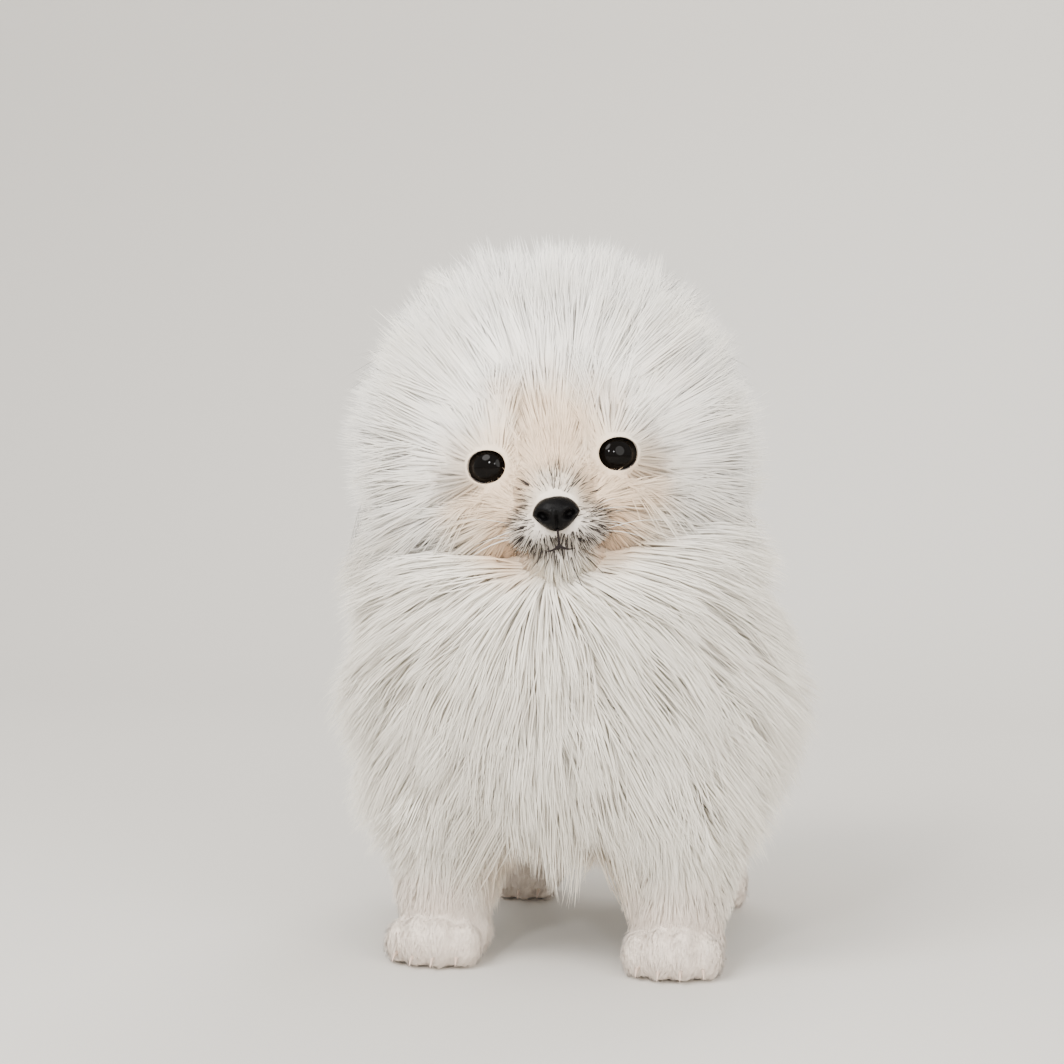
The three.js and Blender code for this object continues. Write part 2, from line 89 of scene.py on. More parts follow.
WHISKERS = 11
WHISKER_RADIUS = 0.12
BROW_HAIRS = 3
BROW_HAIR_RADIUS = 0.09
THROAT = np.array((2.0, -62.0, 124.0))
CAMERA_PLACE = (143.2, -700.5, 170.0)
CAMERA_TURN = 13.0
CAMERA_DROP = 2.75

FLESH = (
    "head", "lower_jaw", "ear_left", "ear_right", "neck", "torso", "tail",
    "front_leg_left", "front_leg_right", "hind_leg_left", "hind_leg_right",
    "front_paw_left", "front_paw_right", "hind_paw_left", "hind_paw_right",
)


def head_matrix():
    """The head's turn to one side and its roll."""
    turn = Matrix.Rotation(math.radians(HEAD_TURN), 3, "Z")
    tilt = Matrix.Rotation(math.radians(-HEAD_TILT), 3, "Y")
    return np.array(turn @ tilt)


HEAD = head_matrix()


def from_head(points):
    """Points on the head, in the dog's frame."""
    return np.asarray(points, dtype=float) @ HEAD.T + SKULL


def to_head(points):
    """Points of the dog, in the head's frame."""
    return (np.asarray(points, dtype=float) - SKULL) @ HEAD


def row_shift():
    """How far the dog's frame lies from the row's, from where the left eye is."""
    low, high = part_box("eye_left")
    middle = (np.array(low) + np.array(high)) / 2 / MM
    return middle - from_head(EYE)


SHIFT = row_shift()


def to_row(points):
    """Points of the dog, in the row's frame and in metres."""
    return (np.asarray(points, dtype=float) + SHIFT) * MM


def unit(vectors):
    """Vectors with a length of 1."""
    length = np.linalg.norm(vectors, axis=-1, keepdims=True)
    return vectors / np.maximum(length, 1e-9)


def norms(vectors):
    """The length of each vector."""
    return np.linalg.norm(vectors, axis=1)


def smooth(values, low, high):
    """0 up to low, 1 from high on, and an even rise between."""
    t = np.clip((values - low) / (high - low), 0, 1)
    return t * t * (3 - 2 * t)


def mix(a, b, t):
    return a + (b - a) * t


def ellipsoid_gap(points, centre, radii):
    """How far points are from an ellipsoid's centre, where its surface is at 1."""
    return norms((points - np.array(centre)) / radii)


# Forms of the coat, each from the skin (share 0) out to the tips (share 1)

BLEND_POWER = 10


def reach(start, directions, masses):
    """Distance from a point to the far walls of ellipsoids, run into one another."""
    total = np.zeros(len(directions))
    for centre, radii in masses:
        radii = np.array(radii, dtype=float)
        d = directions / radii
        p = (start - np.array(centre, dtype=float)) / radii
        a = (d * d).sum(axis=1)
        b = (d * p).sum(axis=1)
        root = b * b - a * ((p * p).sum() - 1)
        wall = np.where(root < 0, 0, (np.sqrt(np.maximum(root, 0)) - b) / a)
        total += np.maximum(wall, 0) ** BLEND_POWER
    return total ** (1 / BLEND_POWER)


class Coat:
    """A form with a skin and, over it, the outline that the tips of the hair reach."""

    def __init__(self, centre, skin, tips, cover=None, tip_cover=None):
        self.centre = np.array(centre, dtype=float)
        self.skin = skin
        self.tips = tips
        self.cover = cover or (lambda directions: np.ones(len(directions)))
        self.tip_cover = tip_cover or self.cover

    def radius(self, directions, share):
        inner = reach(self.centre, directions, self.skin)
        outer = reach(self.centre, directions, self.tips)
        cover = self.tip_cover if share == 1 else self.cover
        return inner + share * cover(directions) * np.maximum(0, outer - inner)

    def height(self, points, share):
        """How far points stand outside the form at a share, along the way from its centre."""
        out = points - self.centre
        return norms(out) - self.radius(unit(out), share)


FACE_AXIS = np.array((0, -1, -0.3)) / math.hypot(1, 0.3)


def off_face(directions):
    """Degrees between directions and the face's axis."""
    return np.degrees(np.arccos(np.clip(directions @ FACE_AXIS, -1, 1)))


def skin_cover(directions):
    """The skin rises away from the bare face."""
    return smooth(off_face(directions), 42, 88)


def tip_cover(directions):
    """The hair starts to lengthen closer to the eyes than the skin starts to rise."""
    return smooth(off_face(directions), 14, 78)


HEAD_COAT = Coat(
    (0, 2, 2),
    [((0, 2, 2), (29, 31, 27)), ((0, -10, -4), (30, 22, 22)), ((0, -8, -12), (26, 20, 18))],
    [((0, 6, 0.5), (66, 58, 69))],
    skin_cover,
    tip_cover,
)
NECK_COAT = Coat(
    (-2, -28, 112),
    [((-1, -28, 116), (25, 25, 34))],
    [((-2, -30, 114), (71, 58, 58))],
)
TORSO_COAT = Coat(
    (0, 14, 92),
    [((0, -18, 92), (34, 34, 33)), ((0, 18, 93), (31, 40, 28)), ((0, 46, 95), (29, 26, 29))],
    [((0, -32, 78), (81, 50, 52)), ((0, 12, 86), (73, 60, 54)), ((0, 44, 90), (65, 50, 50))],
)
TAIL_PATH = ((0, 62, 108), (0, 84, 130), (0, 80, 154), (0, 56, 160), (0, 34, 152))
TAIL_SKIN = (9, 8, 7, 6, 4)
TAIL_TIPS = (16, 26, 29, 27, 16)
LIMB_RINGS = 40


def spline(points, count):
    """A smooth run of points through a few."""
    points = np.array(points, dtype=float)
    ends = np.vstack([2 * points[0] - points[1], points, 2 * points[-1] - points[-2]])
    spans = len(points) - 1
    at = np.linspace(0, spans, count)
    i = np.minimum(at.astype(int), spans - 1)
    t = (at - i)[:, None]
    p0, p1, p2, p3 = ends[i], ends[i + 1], ends[i + 2], ends[i + 3]
    return 0.5 * (
        2 * p1 + (p2 - p0) * t + (2 * p0 - 5 * p1 + 4 * p2 - p3) * t**2
        + (3 * p1 - p0 - 3 * p2 + p3) * t**3
    )


class Limb:
    """A limb along a path, with half sizes across and along the body."""

    def __init__(self, points, radii):
        self.path = spline(points, LIMB_RINGS)
        sizes = np.array([(r, r) if np.isscalar(r) else r for r in radii], dtype=float)
        at = np.linspace(0, len(sizes) - 1, LIMB_RINGS)
        self.sizes = np.stack(
            [np.interp(at, np.arange(len(sizes)), sizes[:, i]) for i in (0, 1)], axis=1
        )
        self.along = unit(np.gradient(self.path, axis=0))

    def nearest(self, points):
        """Index of the nearest place on the path, and the distance to it."""
        best = np.full(len(points), 1e9)
        index = np.zeros(len(points), dtype=int)
        for i, centre in enumerate(self.path):
            distance = norms(points - centre)
            closer = distance < best
            best[closer] = distance[closer]
            index[closer] = i
        return index, best

    def height(self, points, extra=0.0):
        """How far points stand outside the limb, or outside hair of an extra length on it."""
        index, distance = self.nearest(points)
        return distance - self.sizes[index].mean(axis=1) - extra


def front_leg(side):
    x = side * FRONT_TRACK
    return Limb(
        [(x * 0.86, -27, 72), (x * 0.95, -32, 56), (x, -37, 38), (x, -40, 13)],
        [(15, 15), (17, 17), (16, 17), (14.5, 15)],
    )


def hind_leg(side):
    x = side * HIND_TRACK
    return Limb(
        [(x * 0.85, 44, 76), (x * 0.95, 52, 56), (x, 60, 36), (x, 59, 13)],
        [(18, 24), (17, 21), (13, 15), (12.5, 13.5)],
    )


LEGS = [front_leg(1), front_leg(-1), hind_leg(1), hind_leg(-1)]
TAIL = Limb(TAIL_PATH, TAIL_SKIN)
TAIL_COAT = Limb(TAIL_PATH, TAIL_TIPS)


# Meshes

def placed_object(name, data):
    """A new object in the scene."""
    made = bpy.data.objects.new(name, data)
    bpy.context.scene.collection.objects.link(made)
    return made


def mesh_object(name, vertices, faces, material=None):
    """A smooth mesh of points and faces as an object in the scene."""
    mesh = bpy.data.meshes.new(name)
    mesh.from_pydata([tuple(v) for v in vertices], [], [tuple(f) for f in faces])
    mesh.update()
    mesh.shade_smooth()
    if material:
        mesh.materials.append(material)
    return placed_object(name, mesh)


def sphere_points(rings, sides):
    """Unit sphere grid: points and faces, poles on the y axis."""
    points = [(0, -1, 0)]
    for i in range(1, rings):
        a = math.pi * i / rings
        for j in range(sides):
            b = 2 * math.pi * j / sides
            points.append((math.sin(a) * math.cos(b), -math.cos(a), math.sin(a) * math.sin(b)))
    points.append((0, 1, 0))
    faces = []
    last = len(points) - 1
    for j in range(sides):
        k = (j + 1) % sides
        faces.append((0, 1 + j, 1 + k))
        for i in range(rings - 2):
            a, b = 1 + i * sides, 1 + (i + 1) * sides
            faces.append((a + j, b + j, b + k, a + k))
        a = 1 + (rings - 2) * sides
        faces.append((a + j, last, a + k))
    return np.array(points, dtype=float), faces


def joined(parts):
    """Several (points, faces) as one."""
    points, faces, start = [], [], 0
    for some, around in parts:
        points.append(some)
        faces += [tuple(i + start for i in face) for face in around]
        start += len(some)
    return np.vstack(points), faces


def ellipsoid(centre, radii, rings=24, sides=32):
    """An ellipsoid as points and faces."""
    points, faces = sphere_points(rings, sides)
    return points * np.array(radii) + np.array(centre), faces


def star(coat, share):
    """A coat's form at a share, as points and faces."""
    points, faces = sphere_points(72, 96)
    return coat.centre + points * coat.radius(points, share)[:, None], faces


def ring_faces(rings, sides):
    """Faces of a closed tube made of rings of points."""
    faces = []
    for i in range(rings - 1):
        for j in range(sides):
            k = (j + 1) % sides
            faces.append((i * sides + j, i * sides + k, (i + 1) * sides + k, (i + 1) * sides + j))
    faces.append(tuple(range(sides))[::-1])
    faces.append(tuple((rings - 1) * sides + j for j in range(sides)))
    return faces


def tube(limb):
    """A limb's skin as points and faces."""
    points = []
    sides = 20
    for i in range(LIMB_RINGS):
        along = limb.along[i]
        side = unit(np.array((1.0, 0, 0)) - along * along[0])
        front = np.cross(along, side)
        for j in range(sides):
            a = 2 * math.pi * j / sides
            points.append(
                limb.path[i]
                + side * math.cos(a) * limb.sizes[i][0]
                + front * math.sin(a) * limb.sizes[i][1]
            )
    return np.array(points), ring_faces(LIMB_RINGS, sides)


class Paw:
    """One paw's place, turn and size, with the toes spread over its width."""

    def __init__(self, side, x, y, scale):
        turn = math.radians(side * PAW_TURN)
        cos, sin = math.cos(turn), math.sin(turn)
        self.spin = np.array(((cos, -sin, 0), (sin, cos, 0), (0, 0, 1)))
        self.place = np.array((side * x, y, 0))
        self.half = PAW_WIDTH * scale / 2 - 1.5
        self.length = PAW_LENGTH * scale - 3
        # each toe's place across the paw, and how near it is to the middle
        self.toes = [(across, 1 - abs(across)) for across in (-1, -1 / 3, 1 / 3, 1)]

    def placed(self, points):
        return points @ self.spin.T + self.place

    def flesh(self):
        """A pad with four toes in front of it."""
        half, length = self.half, self.length
        parts = [ellipsoid((0, length * 0.12, 8.5), (half * 0.95, length * 0.42, 10.5))]
        for across, middle in self.toes:
            centre = (across * half * 0.62, -length * (0.2 + 0.16 * middle), 6.4 + 1.6 * middle)
            radii = (half * 0.35, length * 0.23, 7.6 + 1.5 * middle)
            parts.append(ellipsoid(centre, radii, 16, 20))
        points, faces = joined(parts)
        points[:, 2] = np.maximum(points[:, 2], SOLE)
        return self.placed(points), faces

    def claws(self):
        parts = []
        for across, middle in self.toes:
            base = np.array((across * self.half * 0.62, -self.length * (0.39 + 0.16 * middle), 4.4))
            path = [base, base + (across * 0.4, -2.2, -0.6), base + (across * 0.6, -3.9, -2.6)]
            points, faces = strand(np.array(path), CLAW_RADIUS, 6, 8)
            parts.append((self.placed(points), faces))
        return parts


def paws_of(side):
    """The front and the hind paw of one side."""
    return (Paw(side, FRONT_TRACK, FRONT_PAW_Y, 1.0),
            Paw(side, HIND_TRACK, HIND_PAW_Y, HIND_PAW_SCALE))


def muzzle_parts():
    """The bridge of the nose, the jaw, the lips' cushions and the cheeks."""
    bridge = Limb(
        [(0, -14, -9), (0, -26, -11), (0, -36, -14), (0, -42, -17)],
        [(15.5, 14.5), (13, 12), (9.5, 9), (7, 6.5)],
    )
    jaw = Limb(
        [(0, -12, -24), (0, -22, -27), (0, -30, -28.5), (0, -36.5, -28.5)],
        [(14, 8), (11, 6.5), (8.5, 5), (5, 3)],
    )
    parts = [tube(bridge), tube(jaw)]
    for side in (1, -1):
        parts.append(ellipsoid((side * 6.2, -34, -20.3), (7.8, 9.8, 6.6)))
        parts.append(ellipsoid((side * 14, -20, -15), (12, 14, 12)))
    return [(from_head(points), faces) for points, faces in parts]


def ear(side):
    """An ear as a flat, pointed form, cupped to the front."""
    rise = unit(np.array((side * 0.36, -0.05, 1.0)))
    front = unit(np.array((side * 0.35, -1.0, -0.03)))
    across = unit(np.cross(rise, front))
    points, faces = sphere_points(20, 24)
    along = (1 + points[:, 2:3]) / 2
    wide = 8.5 * (1 - 0.35 * along)
    cup = 3.0 * (points[:, 0:1] ** 2)
    placed = (
        np.array((side * 20.0, 9.0, 22.0))
        + rise * along * 26
        + across * points[:, 0:1] * wide
        + front * (points[:, 1:2] * -2.2 + cup)
    )
    return from_head(placed), faces


def apply_modifiers(made):
    """Puts what an object's modifiers make in place of its mesh."""
    graph = bpy.context.evaluated_depsgraph_get()
    done = bpy.data.meshes.new_from_object(made.evaluated_get(graph))
    made.modifiers.clear()
    old = made.data
    made.data = done
    bpy.data.meshes.remove(old)


def eye_frame(side):
    """Across, up and gaze of an eye, in the head's frame."""
    gaze = unit(GAZE * (side, 1, 1))
    across = unit(np.cross(np.array((0, 0, 1.0)), gaze))
    up = np.cross(gaze, across)
    return across, up, gaze


def eye_centre(side):
    return EYE * np.array((side, 1, 1))


def in_socket(points, side):
    """Points round a ball's centre that looks along -y, turned and moved to an eye."""
    across, up, gaze = eye_frame(side)
    return points @ np.array((across, -gaze, up)) + eye_centre(side)


# Materials

def new_material(name):
    """A new material, its nodes and links, and its shader."""
    made = bpy.data.materials.new(name)
    made.use_nodes = True
    nodes = made.node_tree.nodes
    return made, nodes, made.node_tree.links, nodes["Principled BSDF"]


def set_inputs(node, values):
    """Gives a node's inputs their constants, by name."""
    for name, value in values.items():
        node.inputs[name].default_value = value


def markings_and_shade_group(settings):
    """The coat's colours by place on the dog, with painted shade in the mouth's folds, under the
    cheeks, on the inner legs and towards the roots, shared by the skin and every tuft.
    """
    tree = bpy.data.node_groups.new("Coat Markings and Shade", "ShaderNodeTree")
    for name, value in (("Tone", 0.5), ("Depth", 1.0)):
        socket = tree.interface.new_socket(
            name=name, in_out="INPUT", socket_type="NodeSocketFloat")
        socket.default_value = value
    tree.interface.new_socket(name="Color", in_out="OUTPUT", socket_type="NodeSocketColor")
    nodes, links = tree.nodes, tree.links
    start = nodes.new("NodeGroupInput")
    end = nodes.new("NodeGroupOutput")
    place = nodes.new("ShaderNodeTexCoord")
    wobble = nodes.new("ShaderNodeTexNoise")
    set_inputs(wobble, {"Scale": 90, "Detail": 2})
    links.new(place.outputs["Object"], wobble.inputs["Vector"])

    def maths(kind, a, b):
        node = nodes.new("ShaderNodeMath")
        node.operation = kind
        for socket, value in zip(node.inputs, (a, b)):
            if isinstance(value, (int, float)):
                socket.default_value = value
            else:
                links.new(value, socket)
        return node.outputs[0]

    def mixed(low, high, share):
        node = nodes.new("ShaderNodeMix")
        node.data_type = "RGBA"
        links.new(share, node.inputs["Factor"])
        for socket, value in ((node.inputs["A"], low), (node.inputs["B"], high)):
            if isinstance(value, tuple):
                socket.default_value = value
            else:
                links.new(value, socket)
        return node.outputs["Result"]

    def near(points, inner, outer, strength):
        """Strength within inner mm of any of the points, falling to 0 at outer mm."""
        total = None
        for point in points:
            gap = nodes.new("ShaderNodeVectorMath")
            gap.operation = "DISTANCE"
            links.new(place.outputs["Object"], gap.inputs[0])
            gap.inputs[1].default_value = tuple(to_row(point))
            ragged = maths("ADD", gap.outputs["Value"], maths(
                "MULTIPLY", maths("SUBTRACT", wobble.outputs["Fac"], 0.5), outer * 0.5 * MM))
            fall = nodes.new("ShaderNodeMapRange")
            fall.interpolation_type = "SMOOTHSTEP"
            links.new(ragged, fall.inputs["Value"])
            set_inputs(fall, {"From Min": inner * MM, "From Max": outer * MM,
                              "To Min": strength, "To Max": 0})
            share = fall.outputs["Result"]
            total = share if total is None else maths("MAXIMUM", total, share)
        return total

    def colour(value):
        return tuple(value) + (1,)

    crown = [(0, 10, 30), (-25, 20, 5), (25, 20, 5)]
    mask = [(0, -24, 6), (15, -26, -12), (-15, -26, -12)]
    # painted shade: the tan in the folds at the corners of the mouth and beside the muzzle
    mouth_fold_shade = [(s * x, y, z) for x, y, z in ((17, -28, -23), (9, -22, -12)) for s in (1, -1)]
    # painted shadow: the tan under the cheeks, where the head shades the chin
    cheek_shadow = [(18, -26, -36), (-20, -26, -36)]
    eye_corners = [eye_centre(s) + np.array((-s * 9.0, -5.0, -1.5)) for s in (1, -1)]
    lips = [(0, -41, -22), (6, -38, -24), (-6, -38, -24)]
    toes = [(s * x, y - 6, 2) for x, y in ((FRONT_TRACK, FRONT_PAW_Y), (HIND_TRACK, HIND_PAW_Y))
            for s in (1, -1)]
    # painted shade: the tan on the inner legs, where the body and the legs shade one another
    inner_leg_shade = [(s * 20, y, 34) for s in (1, -1) for y in (-38, 52)]
    result = colour(settings.cream)
    # each marking, and each patch of painted shade: its colour, its places in mm, its inner and
    # outer reach, and its strength
    for tint, places, inner, outer, strength in (
        (settings.white, from_head(crown), 38, 66, 1.0),
        (settings.peach, from_head(mask), 10, 30, 0.95),
        # painted shade in the folds at the corners of the mouth
        (settings.tan, from_head(mouth_fold_shade), 2, 13, 0.85),
        # painted shadow under the cheeks
        (settings.tan, from_head(cheek_shadow), 2, 12, 0.5),
        (settings.tears, from_head(eye_corners), 1.4, 6.0, 0.75),
        (settings.grey, from_head(lips), 5, 14, 0.8),
        (settings.pink, toes, 14, 34, 0.7),
        # painted shade on the inner legs
        (settings.tan, inner_leg_shade, 2, 24, 0.4),
    ):
        result = mixed(result, colour(tint), near(places, inner, outer, strength))
    # deeper in the coat, towards the roots, the colour is a little darker and warmer: painted shade
    # where the tufts shade one another; and from tuft to tuft it varies a little
    deep = mixed(result, colour(settings.under), maths(
        "MULTIPLY", maths("SUBTRACT", 1.0, start.outputs["Depth"]), 0.35))
    shade = nodes.new("ShaderNodeHueSaturation")
    links.new(deep, shade.inputs["Color"])
    links.new(maths("ADD", maths("MULTIPLY", start.outputs["Tone"], 0.14), 0.93),
              shade.inputs["Value"])
    links.new(shade.outputs["Color"], end.inputs["Color"])
    return tree


def raise_grain(nodes, links, shader, kind, scale, output, strength, depth):
    """A fine texture that stands out of a material's surface."""
    place = nodes.new("ShaderNodeTexCoord")
    grain = nodes.new(kind)
    set_inputs(grain, {"Scale": scale})
    links.new(place.outputs["Object"], grain.inputs["Vector"])
    bump = nodes.new("ShaderNodeBump")
    set_inputs(bump, {"Strength": strength, "Distance": depth})
    links.new(grain.outputs[output], bump.inputs["Height"])
    links.new(bump.outputs["Normal"], shader.inputs["Normal"])
    return grain


def coat_material(name, markings_and_shade, tufted):
    """The markings and the painted shade as a dull material, for the tufts or with a fine grain for
    the skin.

    It is made once, and found after that.
    """
    if name in bpy.data.materials:
        return bpy.data.materials[name]
    made, nodes, links, shader = new_material(name)
    group = nodes.new("ShaderNodeGroup")
    group.node_tree = markings_and_shade
    if tufted:
        for attribute, socket in (("tone", "Tone"), ("depth", "Depth")):
            reader = nodes.new("ShaderNodeAttribute")
            reader.attribute_name = attribute
            links.new(reader.outputs["Fac"], group.inputs[socket])
    else:
        # the skin takes the painted shade of the coat's roots
        set_inputs(group, {"Tone": 0.3, "Depth": 0.2})
        grain = raise_grain(
            nodes, links, shader, "ShaderNodeTexNoise", 900, "Fac", 0.6, 0.0006)
        set_inputs(grain, {"Detail": 3})
    links.new(group.outputs["Color"], shader.inputs["Base Color"])
    set_inputs(shader, {"Roughness": 0.75, "Specular IOR Level": 0.25,
                        "Sheen Weight": 0.15, "Sheen Roughness": 0.5})
    return made


# The plain materials: base colour, roughness, weight of the coat, level of the specular light
PLAIN = {
    "Dark Hair": ((0.035, 0.028, 0.025), 0.55, 0.0, 0.2),
    "Eye": ((0.002, 0.0015, 0.0012), 0.04, 0.14, 0.02),
    "Eye Rim": ((0.018, 0.011, 0.009), 0.38, 0.3, 0.5),
    "Nose Leather": ((0.002, 0.0018, 0.0019), 0.28, 0.03, 0.06),
    "Lips": ((0.012, 0.008, 0.008), 0.5, 0.0, 0.15),
    "Pale Whisker": ((0.85, 0.82, 0.76), 0.4, 0.0, 0.5),
    "Dark Whisker": ((0.03, 0.024, 0.02), 0.5, 0.0, 0.5),
    "Claw": ((0.55, 0.42, 0.34), 0.35, 0.0, 0.5),
    "Backdrop": ((0.60, 0.575, 0.535), 0.85, 0.0, 0.2),
}


def plain_material(name):
    """One of the plain materials, found or made."""
    if name in bpy.data.materials:
        return bpy.data.materials[name]
    made, nodes, links, shader = new_material(name)
    colour, roughness, coat, specular = PLAIN[name]
    set_inputs(shader, {"Base Color": colour + (1,), "Roughness": roughness,
                        "Coat Weight": coat, "Coat Roughness": 0.03,
                        "Specular IOR Level": specular})
    if name == "Nose Leather":
        raise_grain(nodes, links, shader, "ShaderNodeTexVoronoi", 2600, "Distance", 0.3, 0.0004)
    return made


# Skin

def build_skin():
    """One closed skin over the whole dog, with open sockets for the eyes."""
    parts = [star(coat, SKIN_SHARE) for coat in (NECK_COAT, TORSO_COAT)]
    points, faces = star(HEAD_COAT, SKIN_SHARE)
    parts.append((from_head(points), faces))
    parts += muzzle_parts()
    for side in (1, -1):
        points, faces = ellipsoid(eye_centre(side), (EYE_RADIUS + EYE_BED,) * 3)
        parts.append((from_head(points), faces))
        parts.append(ear(side))
        parts += [paw.flesh() for paw in paws_of(side)]
    parts += [tube(limb) for limb in LEGS]
    parts.append(tube(TAIL))
    points, faces = joined(parts)
    skin = mesh_object("skin", to_row(points), faces)
    remesh = skin.modifiers.new("one skin", "REMESH")
    remesh.mode = "VOXEL"
    remesh.voxel_size = SKIN_GRAIN * MM
    remesh.use_smooth_shade = True
    soften = skin.modifiers.new("soften", "SMOOTH")
    soften.factor = 0.5
    soften.iterations = SKIN_SOFTENING
    apply_modifiers(skin)

    # each socket is cut by a ball that holds the eye and by a form that opens the lids
    cutters = []
    for side in (1, -1):
        points, faces = sphere_points(24, 40)
        ball = points * (EYE_RADIUS + EYE_PLAY) + eye_centre(side)
        opening = in_socket(points * np.array((EYE_HALF[0], OPENING_DEPTH, EYE_HALF[1])), side)
        opening = opening + eye_frame(side)[2] * OPENING_AHEAD
        cutters += [(from_head(ball), faces), (from_head(opening), faces)]
    for i, (points, faces) in enumerate(cutters):
        cutter = mesh_object("socket_%d" % i, to_row(points), faces)
        cut = skin.modifiers.new("socket", "BOOLEAN")
        cut.operation = "DIFFERENCE"
        cut.solver = "EXACT"
        cut.object = cutter
        apply_modifiers(skin)
        bpy.data.objects.remove(cutter)
    skin.data.materials.clear()
    skin.data.materials.append(bpy.data.materials["Skin"])
    skin.data.shade_smooth()
    unwrap(skin)
    return skin


def unwrap(skin):
    """Unfolds the skin onto the map that the coat's patches lie on."""
    for layer in list(skin.data.uv_layers):
        skin.data.uv_layers.remove(layer)
    skin.data.uv_layers.new(name="OFBake")
    bpy.context.view_layer.objects.active = skin
    skin.select_set(True)
    bpy.ops.object.mode_set(mode="EDIT")
    bpy.ops.mesh.select_all(action="SELECT")
    bpy.ops.uv.smart_project(angle_limit=math.radians(66), island_margin=0.002)
    bpy.ops.object.mode_set(mode="OBJECT")
    skin.select_set(False)


# Coat

# tufts on a square millimetre of skin
BODY_TUFTS = 1.16
BELLY_TUFTS = 0.4
FACE_TUFTS = 2.7
PAW_TUFTS = 2.1
LEG_TUFTS = 1.0
# how the coat lies: where it is long, and on the face and the limbs, where it is flat
RISE = (0.62, 0.36)
CLUMP_SIZE = (34.0, 9.0)
CLUMP_LEAN = (0.20, 0.10)
GATHER = (0.42, 0.25)
BEND = (0.30, 0.165)
FLARED_RISE = 0.95
CLUMP_LIFT = 0.10
TUFT_LEAN = 0.07
LOOSE_SHARE = 0.12
DARK_SHARE = 0.55
# how far a part's share in the coat reaches from its skin, in mm
PART_BLEND = 4.0
# half of a tuft's width and thickness, and how its normals are mixed: its own and the coat's
HALF_TUFT = (0.58, 0.3)
OWN_NORMAL = 0.3
COAT_NORMAL = 0.8
# lengths and widths of tufts in mm
LENGTHS = np.arange(4.0, 54.0, 2.0)
LEAST_LENGTH = 3.0
LONG = 13.0
WIDTHS = (0.27, 0.64)
ROOT_DEPTH = 0.6
FLOOR_GAP = 0.3
TIP_FLOOR_GAP = 3.0
# places of a tuft's rings along it, and by their number their widths
RINGS = {"long": (0, 0.34, 0.7, 1), "short": (0, 0.5, 1)}
RING_WIDTHS = {3: (1.1, 0.75), 4: (1.25, 1.0, 0.55)}
PATCH_SIZE = 0.003
MOST_TRIANGLES = 190000


def values_of(data, key, width, kind=float):
    """What Blender holds under a key, as rows of some width."""
    values = np.empty(len(data) * width, dtype=kind)
    data.foreach_get(key, values)
    return values.reshape(-1, width)


class Roots:
    """Points spread over the skin, each with its normal and its place on the skin's map."""

    def __init__(self, skin, density, rng):
        mesh = skin.data
        mesh.calc_loop_triangles()
        corners = values_of(mesh.loop_triangles, "vertices", 3, np.int64)
        loops = values_of(mesh.loop_triangles, "loops", 3, np.int64)
        spots = values_of(mesh.vertices, "co", 3) / MM - SHIFT
        normals = values_of(mesh.vertices, "normal", 3)
        flat = values_of(mesh.uv_layers["OFBake"].data, "uv", 2)
        a, b, c = (spots[corners[:, i]] for i in range(3))
        area = norms(np.cross(b - a, c - a)) / 2
        number = rng.poisson(area * density((a + b + c) / 3))
        chosen = np.repeat(np.arange(len(corners)), number)
        u, v = rng.random(len(chosen)), rng.random(len(chosen))
        over = u + v > 1
        u[over], v[over] = 1 - u[over], 1 - v[over]
        weights = np.stack([1 - u - v, u, v], axis=1)[:, :, None]
        self.points = (spots[corners[chosen]] * weights).sum(axis=1)
        self.normals = unit((normals[corners[chosen]] * weights).sum(axis=1))
        self.patches = (flat[loops[chosen]] * weights).sum(axis=1)


def face_distance(points):
    """Degrees from the face's axis, seen from the skull's centre."""
    return off_face(unit(to_head(points) - HEAD_COAT.centre))


def part_heights(points):
    """How far points stand from each part's skin."""
    local = to_head(points)
    muzzle = ellipsoid_gap(local, (0, -28, -17), (15, 20, 13)) * 14 - 14
    ears = [ellipsoid_gap(local, (s * 25, 7, 35), (10, 5, 15)) * 9 - 9 for s in (1, -1)]
    return {
        "head": np.min([HEAD_COAT.height(local, SKIN_SHARE), muzzle] + ears, axis=0),
        "neck": NECK_COAT.height(points, SKIN_SHARE),
        "torso": TORSO_COAT.height(points, SKIN_SHARE),
        "tail": TAIL.height(points),
        "legs": np.min([leg.height(points) for leg in LEGS], axis=0),
        "paws": np.maximum(points[:, 2] - PAW_TOP, 0),
    }


def shares(points):
    """The share that each part has in the coat at each root."""
    heights = part_heights(points)
    weights = {name: np.exp(-((height / PART_BLEND) ** 2)) + 1e-6
               for name, height in heights.items()}
    weights["paws"] *= np.where(points[:, 2] < PAW_TOP + 2, 6, 0)
    total = sum(weights.values())
    return {name: weight / total for name, weight in weights.items()}


def in_coat(points):
    """Whether points lie within the outline of the coat."""
    local = to_head(points)
    head = HEAD_COAT.height(local, 1) < 4.0
    coat = head | (NECK_COAT.height(points, 1) < 4.0)
    coat |= TORSO_COAT.height(points, 1) < 0
    coat |= TAIL_COAT.height(points) < 0
    full = 3.5 + 17.0 * smooth(points[:, 2], 18, 52)
    coat |= np.min([leg.height(points, full) for leg in LEGS], axis=0) < 0
    # the fluff that stands out round the lower flanks, and the lock between the front legs
    skirt = ellipsoid_gap(points, (-2, -6, 76), (84, 80, 60)) < 1
    coat |= skirt & (points[:, 2] > 30) & (np.abs(points[:, 0]) > 30)
    coat |= ellipsoid_gap(points, (3, -52, 50), (10, 14, 33)) < 1
    before_face = ellipsoid_gap(local, (0, -46, 0), (27, 38, 36)) < 1
    return coat & ~(before_face & ~head)


